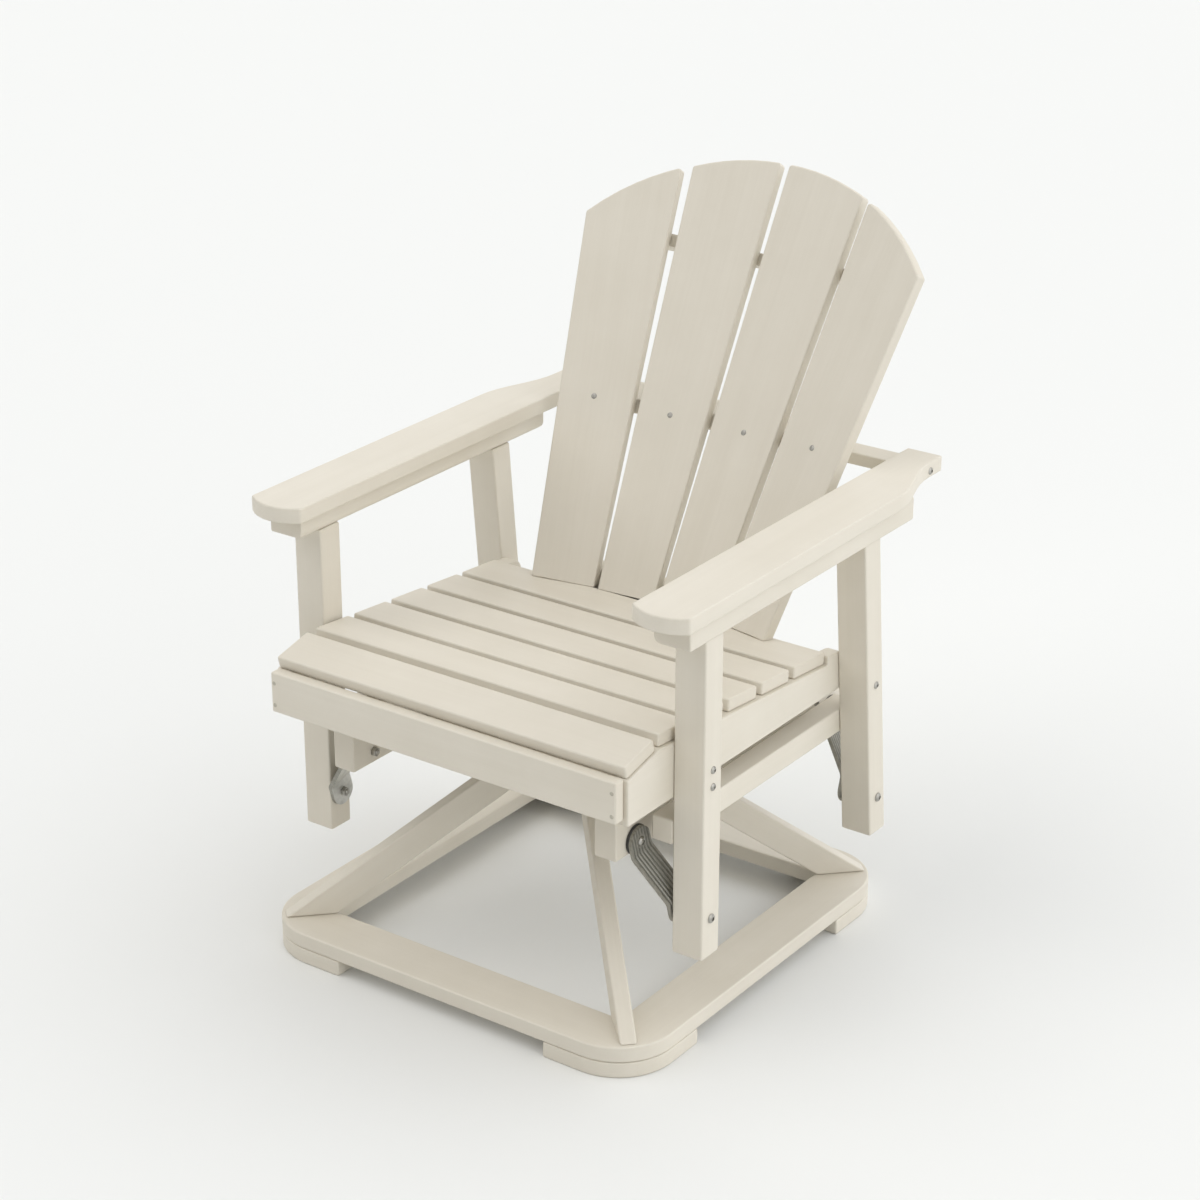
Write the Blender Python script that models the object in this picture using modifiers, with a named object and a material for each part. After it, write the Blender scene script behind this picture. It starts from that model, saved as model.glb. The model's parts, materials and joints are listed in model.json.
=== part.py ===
"""Swivel glider patio chair in plastic lumber, with every board, metal arm and fastener apart.

Metres, +Z up. The chair faces -Y and stands on z = 0, and the origin is below the middle of its
bounding box. Pieces are measured from the swivel axis, a vertical line SWIVEL_AXIS_Y away from
the origin. A square ring on four pads holds four sloping legs and a hub, a carriage of two rails
turns on the hub, and the seat hangs from the carriage on four swing arms.
"""
import math

import bmesh
import bpy
from mathutils import Matrix, Vector

# Fits and edges
GAP = 0.0003
OVERRUN = 0.002
EDGE_ROUND = 0.003
MERGE = 0.00001
SWIVEL_AXIS_Y = -0.1064

# Base ring, pads and sloping legs
RING_SIDE = 0.700
RING_RAIL_WIDTH = 0.083
RING_RAIL_THICKNESS = 0.025
RING_CORNER_RADIUS = 0.092
PAD_THICKNESS = 0.025
PAD_REACH = 0.160
PAD_WIDTH = 0.038
LEG_THICKNESS = 0.025
LEG_WIDTH = 0.0445
LEG_FOOT_SETBACK = 0.0049
LEG_TOP_OVERHANG = 0.009

# Hub and swivel
HUB_BOTTOM = 0.262
HUB_SIDE = 0.200
HUB_THICKNESS = 0.025
SWIVEL_PLATE_SIDE = 0.150
SWIVEL_PLATE_THICKNESS = 0.003
BALL_DIAMETER = 0.0064
BALL_RING_RADIUS = 0.045
BALL_COUNT = 12
CAGE_WIDTH = 0.009
CAGE_THICKNESS = 0.002

# Carriage
CARRIAGE_RAIL_INSIDE = 0.219
CARRIAGE_RAIL_THICKNESS = 0.038
CARRIAGE_FRONT_Y = -0.264
CARRIAGE_REAR_Y = 0.345
CARRIAGE_BOTTOM = 0.296
CARRIAGE_TOP = 0.385
MOUNTING_BOARD_DEPTH = 0.220
MOUNTING_BOARD_THICKNESS = 0.025
CROSS_BOARD_Y = 0.245
CROSS_BOARD_THICKNESS = 0.038

# Swing arms and their pivots
UPPER_PIVOT_FRONT_Y = -0.218
UPPER_PIVOT_REAR_Y = 0.302
UPPER_PIVOT_Z = 0.315
SWING_ARM_LENGTH = 0.1104
SWING_ARM_TILT = math.radians(16.3)
SWING_ARM_WIDTH = 0.044
SWING_ARM_THICKNESS = 0.006
SWING_ARM_BEND_START = 0.017
SWING_ARM_BEND_RADIUS = 0.008
REAR_HOLE_SLACK = 0.004
SPACER_RADIUS = 0.023
SPACER_THICKNESS = 0.004

# Legs of the seat
SEAT_LEG_INSIDE = 0.315
SEAT_LEG_WIDTH = 0.051
SEAT_LEG_DEPTH = 0.044
SEAT_LEG_BOTTOM = 0.148
FRONT_LEG_Y = -0.209
REAR_LEG_TOP_Y = 0.206
REAR_LEG_RAKE = math.radians(5.5)

# Seat frame
SIDE_RAIL_THICKNESS = 0.025
SIDE_RAIL_BOTTOM = 0.392
SIDE_RAIL_REAR_Y = 0.245
SIDE_RAIL_REAR_ROUND = 0.020
SIDE_RAIL_EAR_DROP = 0.006
STRETCHER_THICKNESS = 0.036
STRETCHER_BOTTOM = 0.318
STRETCHER_HEIGHT = 0.039
STRETCHER_REAR_Y = 0.280
APRON_HALF_LENGTH = 0.3085
APRON_FRONT_Y = -0.338
APRON_THICKNESS = 0.020
APRON_BOTTOM = 0.402
APRON_HEIGHT = 0.064
REAR_RAIL_Y = 0.185
REAR_RAIL_THICKNESS = 0.038

# Seat slats
SLAT_THICKNESS = 0.020
SEAT_KNEE_Y = -0.236
SEAT_KNEE_Z = 0.500
SEAT_SLOPE = math.radians(4.86)
SEAT_SLAT_PITCH = 0.0876
SEAT_SLAT_WIDTH = 0.0743
SEAT_SLAT_COUNT = 5
LAST_SLAT_WIDTH = 0.0853
SEAT_SLAT_SETBACK = 0.006
NOSING_HALF_LENGTH = 0.311
NOSING_WIDTH = 0.070
NOSING_SLOPE = math.radians(13.3)
NOSING_REAR_Y = -0.252
NOSING_REAR_Z = 0.499

# Back
BACK_BASE_Y = 0.197
BACK_BASE_Z = 0.460
BACK_RECLINE = math.radians(29.25)
BACK_PLAN_RADIUS = 0.924
BACK_TANGENT_X = 0.066
BACK_SLAT_THICKNESS = 0.020
BACK_FOOT_HALF_WIDTH = 0.216
BACK_HEAD_HALF_WIDTH = 0.302
BACK_SHOULDER = 0.573
BACK_ARCH_RISE = 0.140
BACK_FOOT_GAP = 0.009
BACK_HEAD_GAP = 0.014
BACK_FOOT_SPLIT_share = 0.50
BACK_HEAD_SPLIT_share = 0.51
BACK_FOOT_ROUND = 0.004
BACK_HEAD_ROUND = 0.005
BATTEN_THICKNESS = 0.020
LOWER_BATTEN_HALF_LENGTH = 0.205
LOWER_BATTEN_REAR_Y = 0.431
UPPER_BATTEN_HALF_LENGTH = 0.235
UPPER_BATTEN_DEPTH = 0.030
UPPER_BATTEN_RISE = 0.562
BOTTOM_BATTEN_HALF_LENGTH = 0.170
BOTTOM_BATTEN_THICKNESS = 0.038
BOTTOM_BATTEN_REAR_Y = 0.262

# Arms
ARM_TOP = 0.706
ARM_THICKNESS = 0.025
ARM_INSIDE = 0.291
ARM_WIDTH = 0.094
ARM_SIDE_FRONT_Y = -0.277
ARM_FRONT_BULGE = 0.018
ARM_TAPER_START_Y = 0.268
ARM_TAPER_END_Y = 0.415
ARM_TAIL_WIDTH = 0.060
ARM_REAR_Y = 0.452
UNDERARM_INSIDE = 0.311
UNDERARM_WIDTH = 0.060
UNDERARM_HEIGHT = 0.036
UNDERARM_FRONT_Y = -0.255
UNDERARM_REAR_Y = 0.336
UNDERARM_ROUND = 0.010
CROSS_RAIL_FRONT_Y = 0.395
CROSS_RAIL_DEPTH = 0.042
CROSS_RAIL_HEIGHT = 0.020

# Pivot bolts
BOLT_RADIUS = 0.004
BOLT_HEAD_RADIUS = 0.007
BOLT_HEAD_HEIGHT = 0.0045
NUT_RADIUS = 0.0075
NUT_HEIGHT = 0.0065

# Facets of round shapes
ROUND_STEPS = 24
BOLT_STEPS = 12
SPACER_STEPS = 16
DOME_STEPS = 3
FILLET_STEPS = 4
CORNER_STEPS = 6
ARCH_STEPS = 6
TAPER_STEPS = 8
BALL_STEPS = 6
BALL_RINGS = 4
MEETING_ROUNDS = 6
FLAT_ANGLE = math.radians(0.5)
SMOOTH_ANGLE = math.radians(40.0)

# Heights and places that follow from the sizes above
RING_BOTTOM = PAD_THICKNESS + GAP
RING_TOP = RING_BOTTOM + RING_RAIL_THICKNESS
RING_DIAGONAL = math.sqrt(2) * (RING_SIDE / 2 - RING_CORNER_RADIUS) + RING_CORNER_RADIUS
LEG_BOTTOM = RING_TOP + GAP
LEG_TOP = HUB_BOTTOM - GAP
LEG_FOOT_RADIUS = RING_DIAGONAL - LEG_FOOT_SETBACK
LEG_TOP_RADIUS = HUB_SIDE / math.sqrt(2) + LEG_TOP_OVERHANG
LEG_SLOPE = math.atan2(LEG_TOP - LEG_BOTTOM, LEG_FOOT_RADIUS - LEG_TOP_RADIUS)
LEG_FOOT_LENGTH = LEG_WIDTH / math.sin(LEG_SLOPE)
HUB_TOP = HUB_BOTTOM + HUB_THICKNESS
LOWER_PLATE_BOTTOM = HUB_TOP + GAP
BALL_BOTTOM = LOWER_PLATE_BOTTOM + SWIVEL_PLATE_THICKNESS + GAP
UPPER_PLATE_BOTTOM = BALL_BOTTOM + BALL_DIAMETER + GAP
MOUNTING_BOARD_BOTTOM = UPPER_PLATE_BOTTOM + SWIVEL_PLATE_THICKNESS + GAP
CARRIAGE_RAIL_OUTSIDE = CARRIAGE_RAIL_INSIDE + CARRIAGE_RAIL_THICKNESS
SPACER_INSIDE = CARRIAGE_RAIL_OUTSIDE + GAP
SWING_ARM_UPPER_X = SPACER_INSIDE + SPACER_THICKNESS + GAP
SWING_ARM_LOWER_X = SEAT_LEG_INSIDE - GAP - SWING_ARM_THICKNESS
SWING_ARM_SHIFT = SWING_ARM_LENGTH * math.sin(SWING_ARM_TILT)
LOWER_PIVOT_Z = UPPER_PIVOT_Z - SWING_ARM_LENGTH * math.cos(SWING_ARM_TILT)
LOWER_PIVOT_FRONT_Y = UPPER_PIVOT_FRONT_Y + SWING_ARM_SHIFT
LOWER_PIVOT_REAR_Y = UPPER_PIVOT_REAR_Y - SWING_ARM_SHIFT
ARM_BOTTOM = ARM_TOP - ARM_THICKNESS
ARM_OUTSIDE = ARM_INSIDE + ARM_WIDTH
ARM_TAIL_OUTSIDE = ARM_INSIDE + min(ARM_TAIL_WIDTH, ARM_WIDTH)
UNDERARM_TOP = ARM_BOTTOM - GAP
UNDERARM_BOTTOM = UNDERARM_TOP - UNDERARM_HEIGHT
SEAT_LEG_TOP = UNDERARM_BOTTOM - GAP
SEAT_LEG_OUTSIDE = SEAT_LEG_INSIDE + SEAT_LEG_WIDTH
SIDE_RAIL_OUTSIDE = SEAT_LEG_INSIDE - GAP
SIDE_RAIL_INSIDE = SIDE_RAIL_OUTSIDE - SIDE_RAIL_THICKNESS
SEAT_SLAT_HALF_LENGTH = SIDE_RAIL_OUTSIDE - SEAT_SLAT_SETBACK
APRON_REAR_Y = APRON_FRONT_Y + APRON_THICKNESS
LAST_SLAT_REAR_Y = SEAT_KNEE_Y + math.cos(SEAT_SLOPE) * (
    (SEAT_SLAT_COUNT - 1) * SEAT_SLAT_PITCH + LAST_SLAT_WIDTH)
CROSS_RAIL_TOP = ARM_BOTTOM + CROSS_RAIL_HEIGHT
LOWER_BATTEN_BOTTOM = CROSS_RAIL_TOP + GAP
BACK_ARCH_RADIUS = (BACK_HEAD_HALF_WIDTH ** 2 + BACK_ARCH_RISE ** 2) / (2 * BACK_ARCH_RISE)

# Turns that lay an outline drawn in X and Y on its plane
FLAT = Matrix.Identity(4)
FACE_ON = Matrix.Rotation(math.pi / 2, 4, "X")
SIDE_ON = Matrix.Rotation(math.pi / 2, 4, "Z") @ FACE_ON
CORNERS = {"front_right": 0, "rear_right": 1, "rear_left": 2, "front_left": 3}
SIDES = {"right": 1, "left": -1}

# Looks: colour, roughness and metallic value
LUMBER = ((0.71, 0.66, 0.56), 0.55, 0.0)
GALVANISED = ((0.33, 0.32, 0.29), 0.45, 0.9)
ZINC = ((0.60, 0.60, 0.58), 0.35, 1.0)
BRIGHT_BOLT = ((0.55, 0.54, 0.51), 0.30, 1.0)
BALL_STEEL = ((0.70, 0.70, 0.70), 0.15, 1.0)


def clear_scene():
    for old in list(bpy.data.objects):
        bpy.data.objects.remove(old, do_unlink=True)


def new_collection(name):
    collection = bpy.data.collections.new(name)
    bpy.context.scene.collection.children.link(collection)
    return collection


def new_empty(name, location, parent=None):
    """An empty on a joint's axis, or the frame that all pieces share."""
    empty = bpy.data.objects.new(name, None)
    PARTS.objects.link(empty)
    empty.location = location
    empty.parent = parent
    return empty


def paint(piece, look):
    colour, roughness, metallic = look
    finish = bpy.data.materials.new(piece.name)
    finish.use_nodes = True
    shader = finish.node_tree.nodes["Principled BSDF"]
    shader.inputs["Base Color"].default_value = (*colour, 1.0)
    shader.inputs["Roughness"].default_value = roughness
    shader.inputs["Metallic"].default_value = metallic
    piece.data.materials.clear()
    piece.data.materials.append(finish)


def add_piece(name, mesh, look, pivot, place=FLAT, edge=0, segments=2):
    """A piece placed in the chair's frame, which moves with the pivot's empty."""
    mesh = mesh.copy()
    mesh.name = name
    piece = bpy.data.objects.new(name, mesh)
    PARTS.objects.link(piece)
    piece.parent = pivot
    piece.matrix_parent_inverse = Matrix.Translation(-pivot.location) if pivot.parent else FLAT
    piece.matrix_basis = place
    paint(piece, look)
    if edge:
        bevel = piece.modifiers.new("rounded_edges", "BEVEL")
        bevel.width = edge
        bevel.segments = segments
        bevel.limit_method = "ANGLE"
    return piece


def add_cutter(name, mesh, place=FLAT):
    cutter = bpy.data.objects.new(name, mesh)
    CUTTERS.objects.link(cutter)
    cutter.parent = CHAIR
    cutter.matrix_basis = place
    cutter.hide_render = True
    cutter.display_type = "WIRE"
    return cutter


def cut(piece, cutter, operation="DIFFERENCE"):
    modifier = piece.modifiers.new(cutter.name, "BOOLEAN")
    modifier.operation = operation
    modifier.solver = "EXACT"
    modifier.object = cutter


def box_mesh(size):
    form = bmesh.new()
    bmesh.ops.create_cube(form, size=1, matrix=Matrix.Diagonal((*size, 1)))
    mesh = bpy.data.meshes.new("box")
    form.to_mesh(mesh)
    form.free()
    return mesh


def box_between(name, low, high, look, pivot, segments=2):
    """A board from its lowest corner to its highest corner."""
    low, high = Vector(low), Vector(high)
    place = Matrix.Translation((low + high) / 2)
    return add_piece(name, box_mesh(high - low), look, pivot, place, EDGE_ROUND, segments)


def evaluated_mesh(source):
    """The evaluated mesh of an object that is then removed."""
    bpy.context.scene.collection.objects.link(source)
    depsgraph = bpy.context.evaluated_depsgraph_get()
    mesh = bpy.data.meshes.new_from_object(source.evaluated_get(depsgraph))
    bpy.data.objects.remove(source)
    return mesh


def outline_mesh(outlines, thickness):
    """A flat plate, from its outline and those of its holes."""
    curve = bpy.data.curves.new("outline", "CURVE")
    curve.dimensions = "2D"
    curve.fill_mode = "BOTH"
    curve.extrude = thickness / 2
    for outline in outlines:
        spline = curve.splines.new("POLY")
        spline.points.add(len(outline) - 1)
        for point, (x, y) in zip(spline.points, outline):
            point.co = (x, y, 0, 1)
        spline.use_cyclic_u = True
    mesh = evaluated_mesh(bpy.data.objects.new("outline", curve))
    form = bmesh.new()
    form.from_mesh(mesh)
    bmesh.ops.remove_doubles(form, verts=form.verts, dist=MERGE)
    if len(outlines) == 1:
        bmesh.ops.dissolve_limit(form, angle_limit=FLAT_ANGLE, verts=form.verts,
                                 edges=form.edges)
    bmesh.ops.recalc_face_normals(form, faces=form.faces)
    form.to_mesh(mesh)
    form.free()
    return mesh


def turned_mesh(profile, steps):
    """A turned shape about Z, whose profile runs down its outer side from axis to axis."""
    mesh = bpy.data.meshes.new("profile")
    edges = [(index, index + 1) for index in range(len(profile) - 1)]
    mesh.from_pydata([(radius, 0, height) for radius, height in profile], edges, [])
    source = bpy.data.objects.new("profile", mesh)
    screw = source.modifiers.new("turn", "SCREW")
    screw.steps = steps
    screw.render_steps = steps
    screw.use_merge_vertices = True
    screw.merge_threshold = MERGE
    turned = evaluated_mesh(source)
    form = bmesh.new()
    form.from_mesh(turned)
    bmesh.ops.remove_doubles(form, verts=form.verts, dist=MERGE)
    bmesh.ops.recalc_face_normals(form, faces=form.faces)
    form.to_mesh(turned)
    form.free()
    turned.shade_smooth()
    turned.set_sharp_from_angle(angle=SMOOTH_ANGLE)
    return turned


def arc(centre, radius, start, end, steps):
    """Points along an arc, both ends among them."""
    angles = [start + (end - start) * step / steps for step in range(steps + 1)]
    return [(centre[0] + radius * math.cos(angle), centre[1] + radius * math.sin(angle))
            for angle in angles]


def circle(centre, radius, steps):
    return arc(centre, radius, 0, 2 * math.pi, steps)[:-1]


def rounded(corners):
    """An outline from corners (x, y, radius), each one rounded by its radius."""
    outline = []
    for index, (x, y, radius) in enumerate(corners):
        here = Vector((x, y))
        if not radius:
            outline.append((x, y))
            continue
        back = (Vector(corners[index - 1][:2]) - here).normalized()
        ahead = (Vector(corners[(index + 1) % len(corners)][:2]) - here).normalized()
        half = back.angle(ahead) / 2
        middle = here + (back + ahead).normalized() * radius / math.sin(half)
        first = here + back * radius / math.tan(half) - middle
        last = here + ahead * radius / math.tan(half) - middle
        start = math.atan2(first.y, first.x)
        turn = math.remainder(math.atan2(last.y, last.x) - start, 2 * math.pi)
        outline += arc(middle, radius, start, start + turn, FILLET_STEPS)
    return outline


def seat_top(y):
    """Height of the seat's upper surface over the slats."""
    return SEAT_KNEE_Z - (y - SEAT_KNEE_Y) * math.tan(SEAT_SLOPE)


def seat_underside(y):
    return seat_top(y) - SLAT_THICKNESS / math.cos(SEAT_SLOPE)


def nosing_underside(y):
    top = NOSING_REAR_Z + (y - NOSING_REAR_Y) * math.tan(NOSING_SLOPE)
    return top - SLAT_THICKNESS / math.cos(NOSING_SLOPE)


REAR_RAIL_TOP = seat_underside(LAST_SLAT_REAR_Y) - GAP


def rear_leg_y(z):
    """Front face of a rear leg at a height."""
    return REAR_LEG_TOP_Y + (SEAT_LEG_TOP - z) * math.tan(REAR_LEG_RAKE)


def bolt_profile(collars, end):
    """Outer side of a bolt under its domed head, along -Z from the face it clamps at z = 0.

    A collar (radius, top, bottom) is a washer or a nut on the shank.
    """
    turns = [step * math.pi / 2 / DOME_STEPS for step in range(DOME_STEPS + 1)]
    profile = [(BOLT_HEAD_RADIUS * math.sin(turn), GAP + BOLT_HEAD_HEIGHT * math.cos(turn))
               for turn in turns]
    profile.append((BOLT_RADIUS, GAP))
    for radius, top, bottom in collars:
        profile += [(BOLT_RADIUS, top), (radius, top), (radius, bottom), (BOLT_RADIUS, bottom)]
    return [*profile, (BOLT_RADIUS, end), (0, end)]


def hole_mesh(radius, depth):
    """A round cutter through a wall that lies from z = 0 down to its depth."""
    form = bmesh.new()
    height = depth + 2 * OVERRUN
    place = Matrix.Translation((0, 0, -depth / 2))
    bmesh.ops.create_cone(form, cap_ends=True, segments=BOLT_STEPS, radius1=radius + GAP,
                          radius2=radius + GAP, depth=height, matrix=place)
    mesh = bpy.data.meshes.new("hole")
    form.to_mesh(mesh)
    form.free()
    return mesh


def outward(side, x, y, z):
    """A place on a side of the chair whose Z points away from its middle."""
    return Matrix.Translation((side * x, y, z)) @ Matrix.Rotation(side * math.pi / 2, 4, "Y")


def corner_turn(index):
    return Matrix.Rotation(index * math.pi / 2, 4, "Z")


def make_ring():
    """Four mitred rails with shared round outer corners."""
    half = RING_SIDE / 2
    inner = half - RING_RAIL_WIDTH
    middle = half - RING_CORNER_RADIUS
    mitre = GAP / math.sqrt(2)
    slack = GAP / 2 / RING_CORNER_RADIUS
    left = arc((-middle, -middle), RING_CORNER_RADIUS, -math.pi * 3 / 4 + slack, -math.pi / 2,
               CORNER_STEPS)
    right = arc((middle, -middle), RING_CORNER_RADIUS, -math.pi / 2, -math.pi / 4 - slack,
                CORNER_STEPS)
    outline = [*left, *right, (inner - mitre, -inner), (mitre - inner, -inner)]
    mesh = outline_mesh([outline], RING_RAIL_THICKNESS)
    for index, name in enumerate(("front", "right", "rear", "left")):
        place = corner_turn(index) @ Matrix.Translation((0, 0, RING_BOTTOM + RING_RAIL_THICKNESS / 2))
        add_piece("ring_rail_" + name, mesh, LUMBER, CHAIR, place, EDGE_ROUND)


def make_pads():
    """L-shaped pads under the outer edge of the ring's corners."""
    half = RING_SIDE / 2
    inner = half - PAD_WIDTH
    middle = half - RING_CORNER_RADIUS
    reach = half - PAD_REACH
    round_corner = arc((middle, -middle), RING_CORNER_RADIUS, -math.pi / 2, 0, 2 * CORNER_STEPS)
    outline = [(reach, -half), *round_corner, (half, -reach), (inner, -reach), (inner, -inner),
               (reach, -inner)]
    mesh = outline_mesh([outline], PAD_THICKNESS)
    for name, index in CORNERS.items():
        place = corner_turn(index) @ Matrix.Translation((0, 0, PAD_THICKNESS / 2))
        add_piece("corner_pad_" + name, mesh, LUMBER, CHAIR, place, EDGE_ROUND)


def make_sloping_legs():
    """Boards on edge over the ring's diagonals, from the corners up to the hub."""
    outline = [(LEG_FOOT_RADIUS - LEG_FOOT_LENGTH, LEG_BOTTOM), (LEG_FOOT_RADIUS, LEG_BOTTOM),
               (LEG_TOP_RADIUS, LEG_TOP), (LEG_TOP_RADIUS - LEG_FOOT_LENGTH, LEG_TOP)]
    mesh = outline_mesh([outline], LEG_THICKNESS)
    for name, index in CORNERS.items():
        place = Matrix.Rotation((index - 0.5) * math.pi / 2, 4, "Z") @ FACE_ON
        add_piece("diagonal_leg_" + name, mesh, LUMBER, CHAIR, place, EDGE_ROUND)


def swivel_plate(name, bottom, pivot):
    size = (SWIVEL_PLATE_SIDE, SWIVEL_PLATE_SIDE, SWIVEL_PLATE_THICKNESS)
    place = Matrix.Translation((0, 0, bottom + SWIVEL_PLATE_THICKNESS / 2))
    add_piece(name, box_mesh(size), ZINC, pivot, place)


def make_base():
    """The ring, its pads, the sloping legs, the hub and the lower half of the swivel."""
    make_ring()
    make_pads()
    make_sloping_legs()
    half = HUB_SIDE / 2
    box_between("hub_plate", (-half, -half, HUB_BOTTOM), (half, half, HUB_TOP), LUMBER, CHAIR, 1)
    swivel_plate("lower_swivel_plate", LOWER_PLATE_BOTTOM, CHAIR)


def make_ball_ring(pivot):
    """The swivel's bearing balls in their cage, which roll between its two plates."""
    middle = Matrix.Translation((0, 0, BALL_BOTTOM + BALL_DIAMETER / 2))
    form = bmesh.new()
    for index in range(BALL_COUNT):
        turn = Matrix.Rotation(index * 2 * math.pi / BALL_COUNT, 4, "Z")
        place = turn @ Matrix.Translation((BALL_RING_RADIUS, 0, 0))
        bmesh.ops.create_uvsphere(form, u_segments=BALL_STEPS, v_segments=BALL_RINGS,
                                  radius=BALL_DIAMETER / 2, matrix=place)
    balls = bpy.data.meshes.new("balls")
    form.to_mesh(balls)
    form.free()
    cage = outline_mesh([circle((0, 0), BALL_RING_RADIUS + CAGE_WIDTH / 2, ROUND_STEPS),
                         circle((0, 0), BALL_RING_RADIUS - CAGE_WIDTH / 2, ROUND_STEPS)],
                        CAGE_THICKNESS)
    ring = add_piece("swivel_ball_ring", cage, BALL_STEEL, pivot, middle)
    cut(ring, add_cutter("balls", balls, middle), "UNION")


def make_carriage(pivot):
    """Two rails on a mounting board over the swivel, a cross board and the fixed pivots."""
    inside = CARRIAGE_RAIL_INSIDE - GAP
    half_depth = MOUNTING_BOARD_DEPTH / 2
    board_top = MOUNTING_BOARD_BOTTOM + MOUNTING_BOARD_THICKNESS
    swivel_plate("upper_swivel_plate", UPPER_PLATE_BOTTOM, pivot)
    box_between("mounting_board", (-inside, -half_depth, MOUNTING_BOARD_BOTTOM),
                (inside, half_depth, board_top), LUMBER, pivot, 1)
    box_between("carriage_cross_board", (-inside, CROSS_BOARD_Y, CARRIAGE_BOTTOM),
                (inside, CROSS_BOARD_Y + CROSS_BOARD_THICKNESS, CARRIAGE_TOP), LUMBER, pivot, 1)
    ends = {"front": UPPER_PIVOT_FRONT_Y, "rear": UPPER_PIVOT_REAR_Y}
    head_face = SWING_ARM_UPPER_X + SWING_ARM_THICKNESS
    spacer_top = SPACER_INSIDE + SPACER_THICKNESS - head_face
    nut_top = inside - head_face
    spacer = (SPACER_RADIUS, spacer_top, spacer_top - SPACER_THICKNESS)
    nut = (NUT_RADIUS, nut_top, nut_top - NUT_HEIGHT)
    bolt = turned_mesh(bolt_profile([spacer, nut], nut[2] - BOLT_RADIUS / 2), SPACER_STEPS)
    hole = hole_mesh(BOLT_RADIUS, CARRIAGE_RAIL_THICKNESS)
    for name, side in SIDES.items():
        low, high = sorted((side * CARRIAGE_RAIL_INSIDE, side * CARRIAGE_RAIL_OUTSIDE))
        rail = box_between("carriage_rail_" + name, (low, CARRIAGE_FRONT_Y, CARRIAGE_BOTTOM),
                           (high, CARRIAGE_REAR_Y, CARRIAGE_TOP), LUMBER, pivot)
        for end, y in ends.items():
            place = outward(side, head_face, y, UPPER_PIVOT_Z)
            add_piece(f"upper_pivot_bolt_{end}_{name}", bolt, BRIGHT_BOLT, pivot, place)
            through = outward(side, CARRIAGE_RAIL_OUTSIDE, y, UPPER_PIVOT_Z)
            cut(rail, add_cutter(f"upper_hole_{end}_{name}", hole, through))


def swing_arm_outline():
    """Edge view of a swing arm: two parallel pads joined by a slanting middle."""
    reach = SWING_ARM_WIDTH / 2 + OVERRUN
    bend = SWING_ARM_BEND_START
    upper, lower = SWING_ARM_UPPER_X, SWING_ARM_LOWER_X
    wall = SWING_ARM_THICKNESS
    slant = math.atan2(lower - upper, SWING_ARM_LENGTH - 2 * bend)
    lift = wall * math.tan(slant / 2)
    tight = SWING_ARM_BEND_RADIUS
    wide = tight + wall
    return rounded([(upper, reach, 0), (upper, -bend, wide),
                    (lower, bend - SWING_ARM_LENGTH, tight), (lower, -SWING_ARM_LENGTH - reach, 0),
                    (lower + wall, -SWING_ARM_LENGTH - reach, 0),
                    (lower + wall, bend - SWING_ARM_LENGTH + lift, wide),
                    (upper + wall, lift - bend, tight), (upper + wall, reach, 0)])


def make_swing_arm(name, side, end, pivot):
    """A bent flat arm from the carriage's pivot down to the seat leg's pivot."""
    mesh = outline_mesh([swing_arm_outline()], SWING_ARM_WIDTH + 2 * OVERRUN)
    mesh.transform(FACE_ON)
    turn = Matrix.Rotation(-end * SWING_ARM_TILT, 4, "X")
    if side < 0:
        turn = turn @ Matrix.Rotation(math.pi, 4, "Z")
    place = Matrix.Translation((0, pivot.location.y, UPPER_PIVOT_Z)) @ turn
    arm = add_piece("swing_arm_" + name, mesh, GALVANISED, pivot, place)
    half = SWING_ARM_WIDTH / 2
    ends = (arc((0, 0), half, 0, math.pi, ROUND_STEPS // 2)
            + arc((0, -SWING_ARM_LENGTH), half, math.pi, 2 * math.pi, ROUND_STEPS // 2))
    span = SWING_ARM_LOWER_X - SWING_ARM_UPPER_X + SWING_ARM_THICKNESS
    blank = outline_mesh([ends], span + 2 * OVERRUN)
    middle = Matrix.Translation((SWING_ARM_UPPER_X + span / 2, 0, 0))
    blank.transform(middle @ SIDE_ON)
    cut(arm, add_cutter("ends_" + name, blank, place), "INTERSECT")
    slack = REAR_HOLE_SLACK if end > 0 else 0
    for hole, radius, x, z in (("upper", BOLT_RADIUS, SWING_ARM_UPPER_X, 0),
                               ("lower", BOLT_RADIUS + slack, SWING_ARM_LOWER_X, -SWING_ARM_LENGTH)):
        mesh = hole_mesh(radius, SWING_ARM_THICKNESS)
        through = outward(1, x + SWING_ARM_THICKNESS, 0, z)
        cut(arm, add_cutter(f"{hole}_pivot_hole_{name}", mesh, place @ through))


def add_upright(name, side, outline, thickness, inside, pivot):
    """A board whose outline is drawn in Y and Z, from its inner face outwards."""
    place = Matrix.Translation((side * (inside + thickness / 2), 0, 0)) @ SIDE_ON
    return add_piece(name, outline_mesh([outline], thickness), LUMBER, pivot, place, EDGE_ROUND)


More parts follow.
